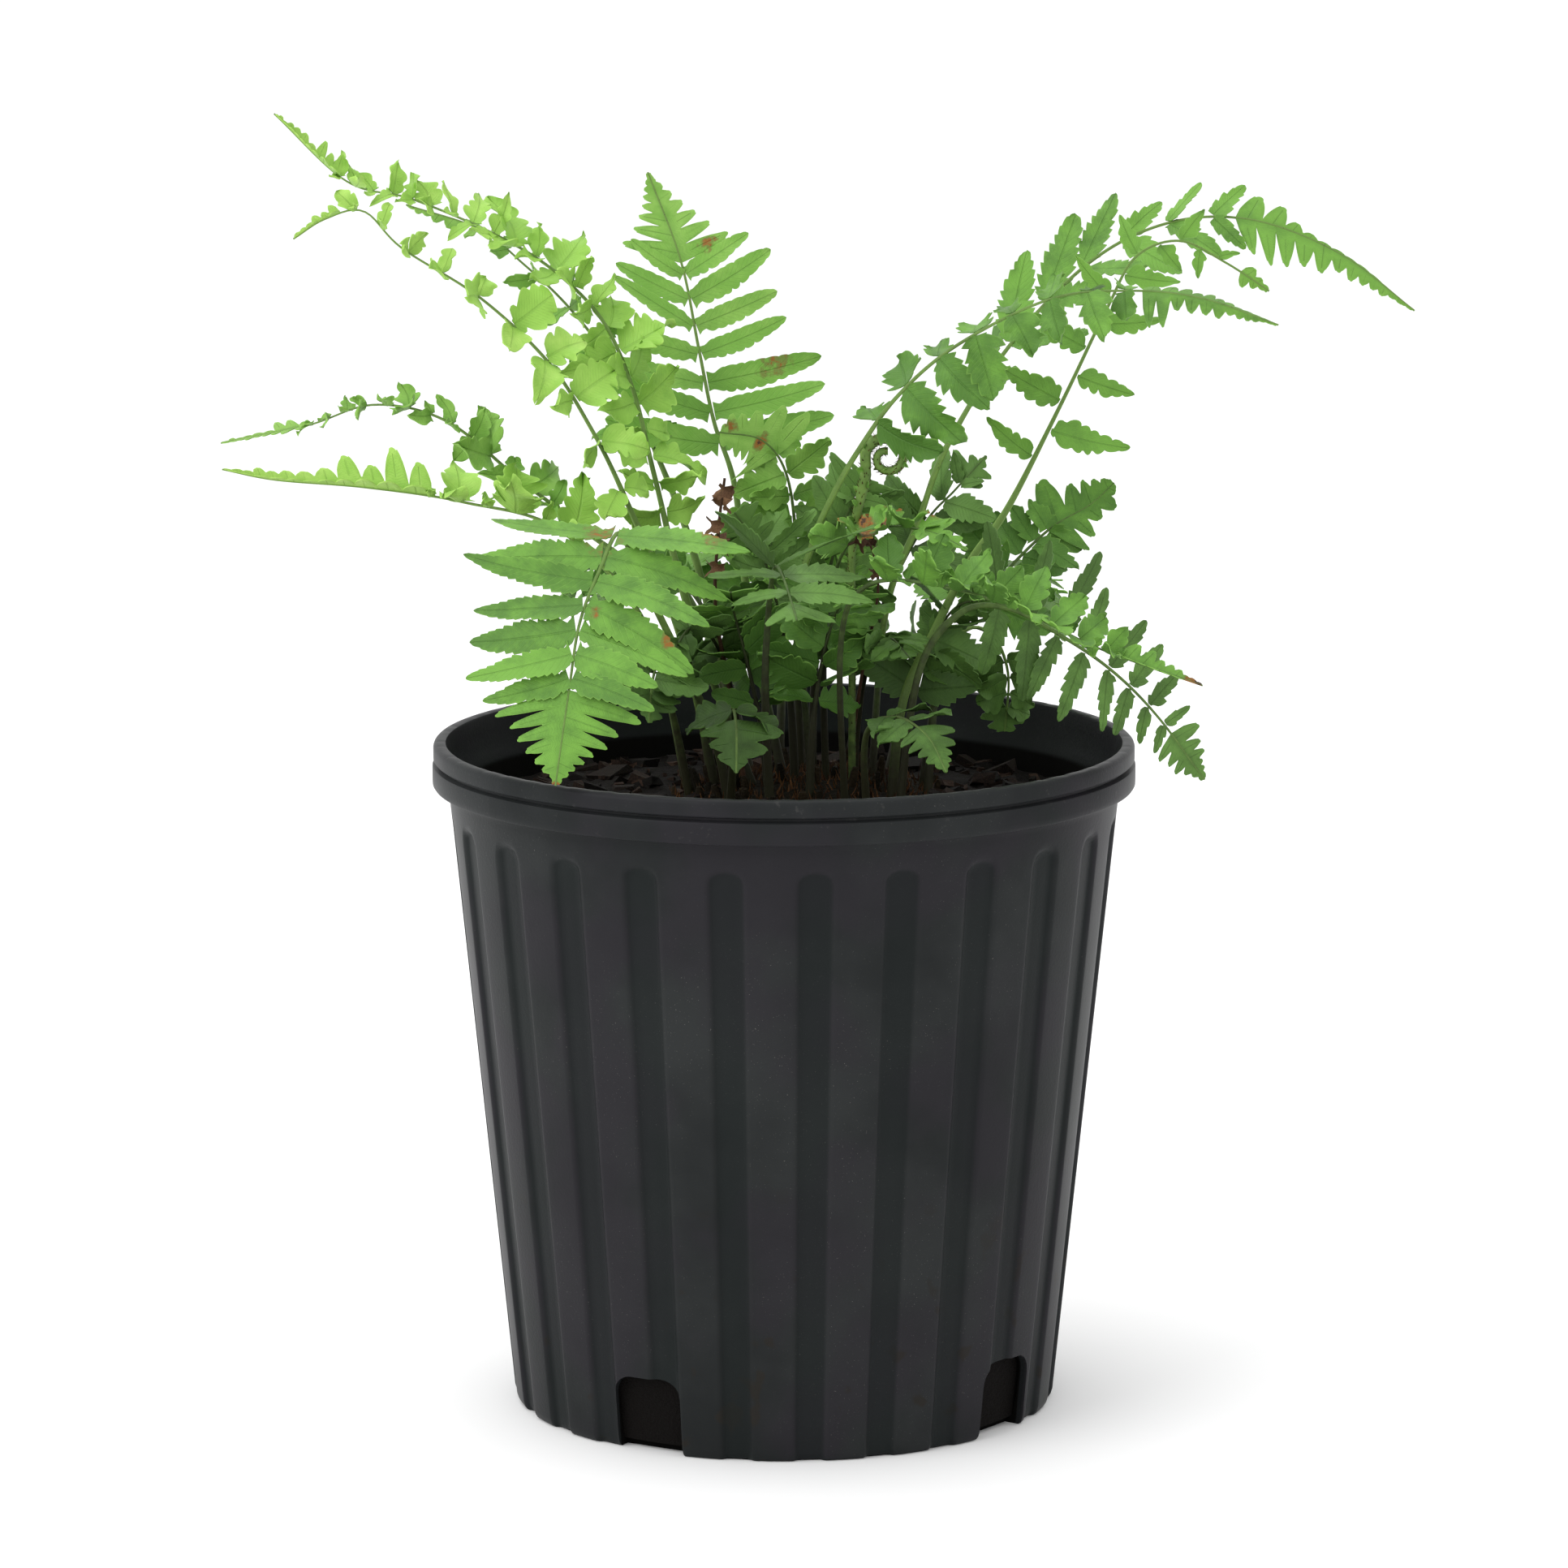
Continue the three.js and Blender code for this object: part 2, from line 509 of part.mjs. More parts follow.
// The middle surface of one leaflet: where it stands, and its points from foot to tip
function leafletShape(frond, seed, place, hand, foot, change) {
  const turnOf = (range) => mix(range[0], range[1], place.share);
  const key = place.pair * 2 + (hand > 0 ? 1 : 0);
  const raised = turnOf(frond.lift) + LIFT_SPREAD * jitter(seed, key, 1) + change.lift;
  const lift = THREE.MathUtils.degToRad(THREE.MathUtils.clamp(raised, -LIFT_LIMIT, LIFT_LIMIT));
  const lean = turnOf(frond.sweep) - hand * (frond.skew ?? 0) + SWEEP_SPREAD * jitter(seed, key, 2);
  const sweep = THREE.MathUtils.degToRad(lean);
  const uneven = 1 + LENGTH_SPREAD * jitter(seed, key, 3);
  const wanted = frond.reach * reachShare(place.share, frond) * uneven * change.length;
  const side = foot.side.clone().multiplyScalar(hand * Math.cos(lift))
    .addScaledVector(foot.face, Math.sin(lift));
  const out = side.clone().multiplyScalar(Math.cos(sweep)).addScaledVector(foot.along, Math.sin(sweep));
  const bend = Math.max(0, foot.bend.dot(side));
  const length = Math.min(wanted, BEND_LIMIT / Math.max(bend, 1e-6));
  const front = foot.along.clone().multiplyScalar(Math.cos(sweep)).addScaledVector(side, -Math.sin(sweep));
  const up = hand > 0 ? out.clone().cross(front) : front.clone().cross(out);
  const base = foot.point.clone().addScaledVector(foot.side, hand * foot.half);
  const width = Math.min(place.room * LEAFLET_FILL * Math.cos(sweep), wanted * frond.plump * LEAFLET_FULLEST);
  const edge = edgeFor(length);
  const curl = 0.1 + 0.06 * jitter(seed, key, 4);
  const onRib = (step) => base.clone().addScaledVector(out, length * step)
    .addScaledVector(up, -curl * length * step * step);
  const room = (step) => Math.max(0.4, (length * step * Math.cos(sweep) - 0.6) / Math.abs(Math.sin(sweep)));
  const half = (step, share, leaning) => Math.min(share * width / 2, leaning ? room(step) : width);
  const rows = edge.steps.map((step, row) => ({
    front: onRib(step).addScaledVector(front, half(step, edge.front[row], sweep > 0)),
    back: onRib(step).addScaledVector(front, -half(step, edge.back[row], sweep < 0)),
  }));
  return { base, rows, tip: onRib(1), up, length };
}

// Points all over a leaflet, used to keep the fronds clear of each other
function samplesOf(leaflet) {
  const samples = [];
  const ribs = [{ front: leaflet.base, back: leaflet.base }, ...leaflet.rows,
    { front: leaflet.tip, back: leaflet.tip }];
  for (let row = 0; row + 1 < ribs.length; row += 1) {
    const steps = Math.ceil(ribs[row].front.distanceTo(ribs[row + 1].front) / SAMPLE_STEP) + 1;
    for (let step = row === 0 ? 1 : 0; step <= steps; step += 1) {
      const front = ribs[row].front.clone().lerp(ribs[row + 1].front, step / steps);
      const back = ribs[row].back.clone().lerp(ribs[row + 1].back, step / steps);
      const across = Math.ceil(front.distanceTo(back) / SAMPLE_STEP);
      for (let part = 0; part <= across; part += 1) {
        samples.push(front.clone().lerp(back, across ? part / across : 0));
      }
    }
  }
  return samples;
}

// Everything that stands already, in cells, so that a new leaflet can be bent clear of it
class Standing {
  constructor() {
    this.cells = new Map();
  }

  key(x, y, z) {
    return `${x},${y},${z}`;
  }

  add(owner, points) {
    for (const point of points) {
      const place = this.key(...point.toArray().map((value) => Math.floor(value / LEAFLET_CLEARANCE)));
      if (!this.cells.has(place)) this.cells.set(place, []);
      this.cells.get(place).push({ owner, point });
    }
  }

  isFree(owner, points) {
    return points.every((point) => {
      const [x, y, z] = point.toArray().map((value) => Math.floor(value / LEAFLET_CLEARANCE));
      for (let dx = -1; dx <= 1; dx += 1) {
        for (let dy = -1; dy <= 1; dy += 1) {
          for (let dz = -1; dz <= 1; dz += 1) {
            const near = this.cells.get(this.key(x + dx, y + dy, z + dz)) ?? [];
            if (near.some((other) => other.owner !== owner
              && other.point.distanceTo(point) < LEAFLET_CLEARANCE)) return false;
          }
        }
      }
      return true;
    });
  }
}

// Clear of the rim, of the pot's inside and of the crown and the mix below
function clearOfPot(point) {
  const radius = Math.hypot(point.x, point.y);
  if (point.z > POT_HEIGHT + RIM_CLEARANCE) return true;
  if (radius > RIM_RADIUS + RIM_CLEARANCE) return true;
  return radius < RIM_RADIUS - LIP_WIDTH - RIM_CLEARANCE - 1 && point.z > CROWN_TOP + RIM_CLEARANCE;
}

// A tube of four sides along the stations, whose side walls can open into leaflets
class Frame {
  constructor() {
    this.vertices = [];
    this.triangles = [];
  }

  vertex(point) {
    this.vertices.push(point.toArray());
    return this.vertices.length - 1;
  }

  quad(a, b, c, d) {
    this.triangles.push([a, b, c], [a, c, d]);
  }

  // The four corners of a station: left top, right top, right bottom, left bottom
  corners(station) {
    const { point, side, face, half } = station;
    const corner = (across, over) => this.vertex(
      point.clone().addScaledVector(side, across * half).addScaledVector(face, over * half * STALK_FLATNESS));
    return [corner(-1, 1), corner(1, 1), corner(1, -1), corner(-1, -1)];
  }

  // A leaflet's closed skin, from the wall between two stations out to its tip
  leaflet(near, far, hand, shape) {
    const pair = (point) => [LEAFLET_THICKNESS / 2, -LEAFLET_THICKNESS / 2].map(
      (offset) => this.vertex(point.clone().addScaledVector(shape.up, offset)));
    const wall = (corners) => (hand > 0 ? [corners[1], corners[2]] : [corners[0], corners[3]]);
    const back = [wall(near), ...shape.rows.map((row) => pair(row.back))];
    const front = [wall(far), ...shape.rows.map((row) => pair(row.front))];
    const tip = pair(shape.tip);
    const [first, second] = hand > 0 ? [back, front] : [front, back];
    const end = first.length - 1;
    for (let row = 0; row < end; row += 1) {
      this.quad(first[row][0], first[row + 1][0], second[row + 1][0], second[row][0]);
      this.quad(first[row][1], second[row][1], second[row + 1][1], first[row + 1][1]);
    }
    this.triangles.push([first[end][0], tip[0], second[end][0]], [first[end][1], second[end][1], tip[1]]);
    const outline = [...first, tip, ...second.reverse()];
    for (let edge = 0; edge + 1 < outline.length; edge += 1) {
      const [from, to] = [outline[edge], outline[edge + 1]];
      this.quad(from[0], from[1], to[1], to[0]);
    }
  }

  geometry() {
    return geometryOf(this.vertices, this.triangles);
  }
}

const LIFT_TRIES = [0, 14, -14, 28, -28, 42, -42];
const LENGTH_TRIES = [1, 0.8, 0.62, 0.45];

// The first bend of a leaflet that keeps it clear of all that stands, or nothing
function clearLeaflet(frond, name, seed, place, hand, foot, standing) {
  for (const length of LENGTH_TRIES) {
    for (const lift of LIFT_TRIES) {
      const shape = leafletShape(frond, seed, place, hand, foot, { lift, length });
      const samples = samplesOf(shape);
      if (samples.every(clearOfPot) && standing.isFree(name, samples)) {
        standing.add(name, samples);
        return shape;
      }
    }
  }
  return null;
}

function frondCurve(points) {
  const places = points.map((point) => new THREE.Vector3(...point));
  return new THREE.CatmullRomCurve3(places, false, 'catmullrom', 0.5);
}

function stalkPoints(curve) {
  const steps = Math.ceil(curve.getLength() / STALK_SAMPLE_STEP);
  return curve.getSpacedPoints(steps);
}

// One frond: its stalk as a four-sided tube and its leaflets grown from the tube's side walls
function frondGeometry(name, seed, standing) {
  const frond = FRONDS[name];
  const curve = frondCurve(frond.points);
  const length = curve.getLength();
  const places = pairPlaces(frond, length);
  const frame = new Frame();
  const footShare = FOOT_LENGTH / length;
  const bareShare = places[0].at - places[0].foot - footShare;
  const bareSteps = Math.ceil(bareShare * length / STALK_STEP);
  const shares = [0];
  for (let step = 0; step < bareSteps; step += 1) shares.push(footShare + step * bareShare / bareSteps);
  let previous = null;
  const stretch = (corners, openRight, openLeft) => {
    frame.quad(previous[0], previous[1], corners[1], corners[0]);
    frame.quad(previous[3], corners[3], corners[2], previous[2]);
    if (!openRight) frame.quad(previous[1], previous[2], corners[2], corners[1]);
    if (!openLeft) frame.quad(previous[0], corners[0], corners[3], previous[3]);
  };
  for (const share of shares) {
    const corners = frame.corners(stationAt(curve, share, frond));
    if (previous) stretch(corners, false, false);
    else frame.quad(corners[0], corners[3], corners[2], corners[1]);
    previous = corners;
  }
  for (const place of places) {
    const near = frame.corners(stationAt(curve, place.at - place.foot, frond));
    stretch(near, false, false);
    previous = near;
    const far = frame.corners(stationAt(curve, place.at + place.foot, frond));
    const foot = stationAt(curve, place.at, frond);
    foot.bend = curve.getTangentAt(place.at + place.foot).sub(curve.getTangentAt(place.at - place.foot))
      .divideScalar(2 * place.foot * length);
    const shapes = [1, -1].map((hand) => (
      place.hands.includes(hand) ? clearLeaflet(frond, name, seed, place, hand, foot, standing) : null));
    stretch(far, Boolean(shapes[0]), Boolean(shapes[1]));
    if (shapes[0]) frame.leaflet(near, far, 1, shapes[0]);
    if (shapes[1]) frame.leaflet(near, far, -1, shapes[1]);
    previous = far;
  }
  const tip = frame.corners(stationAt(curve, 1, frond));
  stretch(tip, false, false);
  frame.quad(tip[0], tip[1], tip[2], tip[3]);
  return frame.geometry();
}

// The rolled young frond: the stalk, then a coil in the plane that faces the front
function crozierPoints() {
  const [x, y, z] = CROZIER_COIL_CENTRE;
  const coil = Array.from({ length: CROZIER_COIL_STEPS }, (unused, step) => {
    const share = step / (CROZIER_COIL_STEPS - 1);
    const turn = THREE.MathUtils.degToRad(CROZIER_START - share * CROZIER_TURNS * 360);
    const radius = CROZIER_COIL_RADIUS * (1 - CROZIER_TIGHTENING * share);
    return [x + radius * Math.cos(turn), y, z + radius * Math.sin(turn)];
  });
  return [...CROZIER_STEM, ...coil];
}

function crozierGeometry() {
  const curve = frondCurve(crozierPoints());
  const frame = new Frame();
  const foot = FOOT_LENGTH / curve.getLength();
  const shares = [0];
  for (let step = 0; step < CROZIER_STEM_STEPS; step += 1) {
    shares.push(mix(foot, CROZIER_BEND, step / CROZIER_STEM_STEPS));
  }
  for (let step = 0; step <= CROZIER_BEND_STEPS; step += 1) {
    shares.push(mix(CROZIER_BEND, 1, step / CROZIER_BEND_STEPS));
  }
  let previous = null;
  for (const share of shares) {
    const station = stationAt(curve, share, CROZIER_BLADE);
    station.half = mix(STALK_WIDTH, CROZIER_WIDTH, Math.min(1, share / CROZIER_BEND)) / 2;
    const corners = frame.corners(station);
    if (previous) {
      for (let edge = 0; edge < 4; edge += 1) {
        const next = (edge + 1) % 4;
        frame.quad(previous[edge], previous[next], corners[next], corners[edge]);
      }
    } else {
      frame.quad(corners[0], corners[3], corners[2], corners[1]);
    }
    previous = corners;
  }
  frame.quad(...previous);
  return frame.geometry();
}

// A plain hole in the crown for one stalk: a little wider than the stalk's foot and a little deeper
function stalkHole(curve, frond) {
  const frame = new Frame();
  const stations = [0, FOOT_LENGTH / curve.getLength()].map((share) => stationAt(curve, share, frond));
  const lead = stations[1].point.clone().sub(stations[0].point).normalize();
  stations[0].point.addScaledVector(lead, -HOLE_CLEARANCE);
  const corners = stations.map(({ point, side, face, half }) => {
    const [wide, high] = [half + HOLE_CLEARANCE, half * STALK_FLATNESS + HOLE_CLEARANCE];
    return [[-1, 1], [1, 1], [1, -1], [-1, -1]].map(([across, over]) => frame.vertex(
      point.clone().addScaledVector(side, across * wide).addScaledVector(face, over * high)));
  });
  const [low, high] = corners;
  frame.quad(low[0], low[3], low[2], low[1]);
  for (let edge = 0; edge < 4; edge += 1) {
    const turn = (edge + 1) % 4;
    frame.quad(low[edge], low[turn], high[turn], high[edge]);
  }
  frame.quad(...high);
  return toSolid(frame.geometry());
}

function material(color, roughness) {
  return new THREE.MeshStandardMaterial({ color, roughness, metalness: 0 });
}

const FROND_GREENS = [0x5fa83a, 0x4b8f35, 0x6fb043, 0x3f7a30];

const plant = new THREE.Group();
const standing = new Standing();
const place = (name, geometry, finish) => {
  const mesh = new THREE.Mesh(geometry, finish);
  mesh.name = name;
  plant.add(mesh);
};

const names = Object.keys(FRONDS);
for (const name of names) standing.add(name, stalkPoints(frondCurve(FRONDS[name].points)));
standing.add('crozier', stalkPoints(frondCurve(crozierPoints())));

const holes = names.map((name) => stalkHole(frondCurve(FRONDS[name].points), FRONDS[name]));
holes.push(stalkHole(frondCurve(crozierPoints()), CROZIER_BLADE));

place('pot', pot(), material(0x33363a, 0.55));
place('potting_mix', pottingMix(), material(0x2a1f18, 0.95));
place('crown', crown(holes), material(0x3a2a1c, 0.9));
names.forEach((name, index) => {
  place(name, frondGeometry(name, index + 1, standing), material(FROND_GREENS[index % 4], 0.6));
});
place('crozier', crozierGeometry(), material(0x6a8a3a, 0.6));

export default plant;
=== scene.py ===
"""A fern in a black nursery pot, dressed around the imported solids.

Metres, +Z up. The photograph's side faces -Y.
"""

import logging
import math
from dataclasses import dataclass, field, replace
from enum import Enum
from typing import Iterable, Iterator, Optional, Sequence

import bmesh
import bpy
import numpy as np
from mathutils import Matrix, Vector, kdtree, noise


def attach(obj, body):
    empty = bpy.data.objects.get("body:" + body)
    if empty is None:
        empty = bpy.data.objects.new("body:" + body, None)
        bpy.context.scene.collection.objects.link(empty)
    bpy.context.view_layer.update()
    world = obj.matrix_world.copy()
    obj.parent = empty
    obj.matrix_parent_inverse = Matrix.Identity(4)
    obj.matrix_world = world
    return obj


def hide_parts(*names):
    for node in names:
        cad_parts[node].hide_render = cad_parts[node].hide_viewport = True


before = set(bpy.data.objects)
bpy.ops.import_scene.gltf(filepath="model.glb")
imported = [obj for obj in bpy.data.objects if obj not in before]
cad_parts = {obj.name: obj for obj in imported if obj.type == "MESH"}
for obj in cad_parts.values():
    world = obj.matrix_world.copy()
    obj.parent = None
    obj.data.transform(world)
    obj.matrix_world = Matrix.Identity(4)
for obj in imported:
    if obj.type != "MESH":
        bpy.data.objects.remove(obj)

LOG = logging.getLogger("potted_fern")
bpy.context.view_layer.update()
MM = 0.001
PHOTO_SIDE = 1932

Colour = tuple[float, float, float]
Point = tuple[float, float, float]
Socket = bpy.types.NodeSocket
Material = bpy.types.Material
Face = Sequence[int]


def smoothstep(value: float, low: float, high: float) -> float:
    """Turns value into a soft step from 0 at low to 1 at high."""
    share = min(1.0, max(0.0, (value - low) / (high - low)))
    return share * share * (3 - 2 * share)


def blend(start: float, end: float, share: float) -> float:
    """Goes straight from start to end as share goes from 0 to 1."""
    return start + (end - start) * share


def jitter(seed: int, index: int, salt: int) -> float:
    """Gives the same number between -1 and 1 that the solids use for one leaflet."""
    wave = math.sin(seed * 12.9898 + index * 78.233 + salt * 37.719) * 43758.5453
    return 2 * (wave - math.floor(wave)) - 1


def chance(seed: int, index: int, salt: int) -> float:
    """Gives a number between 0 and 1, seeded as jitter is."""
    return abs(jitter(seed, index, salt))


def unit(vector: np.ndarray) -> np.ndarray:
    """Scales a vector to length 1."""
    return vector / np.linalg.norm(vector)


def circle(columns: int) -> np.ndarray:
    """Lists evenly spaced angles round a ring, in radians."""
    return np.linspace(0, 2 * math.pi, columns, endpoint=False)


def link(made: bpy.types.Object) -> bpy.types.Object:
    """Links an object to the scene."""
    bpy.context.scene.collection.objects.link(made)
    return made


class Margin(Enum):
    """How a leaflet's edge is cut."""

    SERRATE = "fine teeth that point to the tip"
    CRENATE = "rounded scallops"
    LOBED = "a few deep lobes"


class Tone(Enum):
    """The green that a frond is dressed in, named after its slot in the record: partly the frond's own green,
    partly painted light on the high fronds and painted shade on the low ones.
    """

    BRIGHT = "frond_bright"
    MID = "frond_mid"
    DARK = "frond_dark"


class Shader:
    """Builds one material's nodes from short calls."""

    def __init__(self, name: str) -> None:
        """Starts a material that holds only a Principled shader and its output."""
        self.material = bpy.data.materials.new(name)
        self.material.use_nodes = True
        self.tree = self.material.node_tree
        self.surface = next(node for node in self.tree.nodes if node.type == "BSDF_PRINCIPLED")

    def node(self, kind: str, **settings: object) -> bpy.types.Node:
        """Adds a node and sets its properties."""
        made = self.tree.nodes.new(kind)
        for key, value in settings.items():
            setattr(made, key, value)
        return made

    def feed(self, socket: Socket, value: object) -> None:
        """Links a socket to another, or sets its plain value."""
        if isinstance(value, Socket):
            self.tree.links.new(value, socket)
        else:
            socket.default_value = value

    def maths(self, operation: str, *values: object, clamp: bool = False) -> Socket:
        """Adds a Math node and gives its result, kept between 0 and 1 if it is clamped."""
        made = self.node("ShaderNodeMath", operation=operation, use_clamp=clamp)
        for socket, value in zip(made.inputs, values):
            self.feed(socket, value)
        return made.outputs[0]

    def times(self, first: object, second: object) -> Socket:
        """Multiplies two values."""
        return self.maths("MULTIPLY", first, second)

    def plus(self, first: object, second: object) -> Socket:
        """Adds two values."""
        return self.maths("ADD", first, second)

    def minus(self, first: object, second: object) -> Socket:
        """Takes the second value from the first."""
        return self.maths("SUBTRACT", first, second)

    def ramp(self, value: object, low: float, high: float) -> Socket:
        """Adds a soft step of a value from 0 at low to 1 at high, or falling where low is above high."""
        made = self.node("ShaderNodeMapRange", interpolation_type="SMOOTHSTEP")
        ends = (0.0, 1.0) if low < high else (1.0, 0.0)
        for socket, number in zip(made.inputs, (value, min(low, high), max(low, high), *ends)):
            self.feed(socket, number)
        return made.outputs["Result"]

    def mix(self, share: object, first: object, second: object) -> Socket:
        """Mixes two colours: share is how much of the second shows."""
        made = self.node("ShaderNodeMix", data_type="RGBA")
        self.feed(made.inputs[0], share)
        for socket, value in ((made.inputs[6], first), (made.inputs[7], second)):
            self.feed(socket, (*value, 1.0) if isinstance(value, tuple) else value)
        return made.outputs[2]

    def tinge(self, colour: object, share: object, most: float, second: object) -> Socket:
        """Mixes a second colour into a first by a share, times the most that it may show."""
        return self.mix(self.times(share, most), colour, second)

    def noise(self, scale: float, detail: float = 3.0, roughness: float = 0.5) -> Socket:
        """Adds a noise texture in the object's own space and returns its value."""
        made = self.node("ShaderNodeTexNoise")
        self.feed(made.inputs["Vector"], self.place())
        made.inputs["Scale"].default_value = scale
        made.inputs["Detail"].default_value = detail
        made.inputs["Roughness"].default_value = roughness
        return made.outputs["Fac"]

    def place(self) -> Socket:
        """Gives the place on the object, in metres."""
        return self.node("ShaderNodeTexCoord").outputs["Object"]

    def height_parts(self) -> Sequence[Socket]:
        """Splits the place on the object into its three parts."""
        made = self.node("ShaderNodeSeparateXYZ")
        self.feed(made.inputs[0], self.place())
        return made.outputs

    def paint(self) -> list[Socket]:
        """Gives the four parts of the paint that the mesh holds: along, across, tint and brown."""
        made = self.node("ShaderNodeAttribute", attribute_name=PAINT)
        parts = self.node("ShaderNodeSeparateColor")
        self.feed(parts.inputs[0], made.outputs["Color"])
        return [*parts.outputs, made.outputs["Alpha"]]

    def bump(self, height: Socket, depth: float, strength: float) -> None:
        """Roughens the surface by a height, at most depth metres deep."""
        made = self.node("ShaderNodeBump")
        made.inputs["Strength"].default_value = strength
        made.inputs["Distance"].default_value = depth
        self.feed(made.inputs["Height"], height)
        self.feed(self.surface.inputs["Normal"], made.outputs["Normal"])

    def dress(self, colour: Socket, roughness: object, shine: float) -> Material:
        """Feeds the shader and returns the material. Shine is the specular level."""
        self.feed(self.surface.inputs["Base Color"], colour)
        self.feed(self.surface.inputs["Roughness"], roughness)
        self.surface.inputs["Specular IOR Level"].default_value = shine
        return self.material


PAINT = "leaf"


@dataclass(frozen=True)
class LeafFinish:
    """A green leaf with a midrib, side veins, a pale edge, brown marks and painted shade towards each
    leaflet's foot.
    """

    name: str
    deep: Colour
    plain: Colour
    light: Colour
    rib: Colour

    SIDE_VEINS = 15.0
    VEIN_SLANT = 2.2
    VEIN_SHOW, RIB_SHOW, EDGE_SHOW, FOOT_SHOW = 0.14, 0.16, 0.42, 0.35
    CLOUDS, PATCHES, GRAIN = 120.0, 420.0, 700.0
    BROWNS = ((0.12, 0.4, 0.75, (0.15, 0.16, 0.04)), (0.42, 0.6, 1.0, (0.25, 0.11, 0.022)),
              (0.72, 0.95, 1.0, (0.06, 0.03, 0.016)))
    RELIEF = 0.25 * MM
    ROUGHNESS, SHINE = 0.42, 0.2

    def material(self) -> Material:
        """Builds the leaf's nodes."""
        shader = Shader(self.name)
        along, across, tint, mark = shader.paint()
        off_rib = shader.times(shader.maths("ABSOLUTE", shader.minus(across, 0.5)), 2.0)
        cloud, fine = shader.noise(self.CLOUDS, 4.0, 0.65), shader.noise(self.GRAIN, 4.0, 0.6)
        share = shader.minus(shader.plus(shader.times(tint, 0.65), shader.times(cloud, 0.9)), 0.2)
        colour = shader.mix(shader.ramp(share, 0.15, 0.6), self.deep, self.plain)
        colour = shader.mix(shader.ramp(share, 0.6, 1.05), colour, self.light)
        row = shader.minus(shader.times(along, self.SIDE_VEINS), shader.times(off_rib, self.VEIN_SLANT))
        vein = shader.ramp(shader.maths("PINGPONG", row, 0.5), 0.13, 0.02)
        vein = shader.times(vein, shader.ramp(off_rib, 1.0, 0.55))
        middle = shader.ramp(off_rib, 0.08, 0.02)
        colour = shader.tinge(colour, vein, self.VEIN_SHOW, self.light)
        colour = shader.tinge(colour, shader.ramp(off_rib, 0.88, 0.98), self.EDGE_SHOW, self.light)
        colour = shader.tinge(colour, middle, self.RIB_SHOW, self.rib)
        # Painted shade: each leaflet darkens towards its foot by the stalk.
        colour = shader.tinge(colour, shader.ramp(along, 0.3, 0.0), self.FOOT_SHOW, self.deep)
        patchy = shader.times(shader.minus(shader.noise(self.PATCHES, 3.0, 0.6), 0.5), 1.7)
        mottle = shader.plus(mark, shader.times(patchy, shader.ramp(mark, 0.0, 0.25)))
        for low, high, most, brown in self.BROWNS:
            colour = shader.tinge(colour, shader.ramp(mottle, low, high), most, brown)
        height = shader.minus(shader.times(fine, 0.25), shader.plus(shader.times(vein, 0.35), middle))
        shader.bump(height, self.RELIEF, 0.8)
        return shader.dress(colour, shader.plus(shader.times(fine, 0.16), self.ROUGHNESS), self.SHINE)


@dataclass(frozen=True)
class StalkFinish:
    """A green stalk that browns towards its foot, with faint length-wise streaks, painted shade mixed in by
    its tint and a groove darkened by painted shade.
    """

    name: str
    green: Colour
    shaded: Colour
    brown: Colour

    STREAKS, SPECKS = 260.0, 1500.0
    GROOVE_SHADE_SHOW = 0.45
    RELIEF = 0.2 * MM
    ROUGHNESS, SHINE = 0.55, 0.25

    def material(self) -> Material:
        """Builds the stalk's nodes."""
        shader = Shader(self.name)
        along, around, tint, _ = shader.paint()
        streak, speck = shader.noise(self.STREAKS, 4.0, 0.65), shader.noise(self.SPECKS, 2.0, 0.5)
        # Painted shade: a low tint, the plan's bark, mixes in the shaded green for stalks deep in the clump.
        colour = shader.mix(shader.ramp(shader.plus(tint, streak), 0.45, 1.2), self.shaded, self.green)
        # Painted shade along the groove on the stalk's upper face.
        groove = shader.ramp(shader.maths("ABSOLUTE", shader.minus(around, 0.5)), 0.16, 0.04)
        colour = shader.tinge(colour, groove, self.GROOVE_SHADE_SHOW, self.shaded)
        foot = shader.ramp(shader.plus(along, shader.times(streak, 0.2)), 0.62, 0.2)
        colour = shader.mix(foot, colour, self.brown)
        colour = shader.mix(shader.ramp(speck, 0.68, 0.74), colour, self.brown)
        shader.bump(shader.plus(streak, shader.times(speck, 0.3)), self.RELIEF, 0.6)
        return shader.dress(colour, self.ROUGHNESS, self.SHINE)


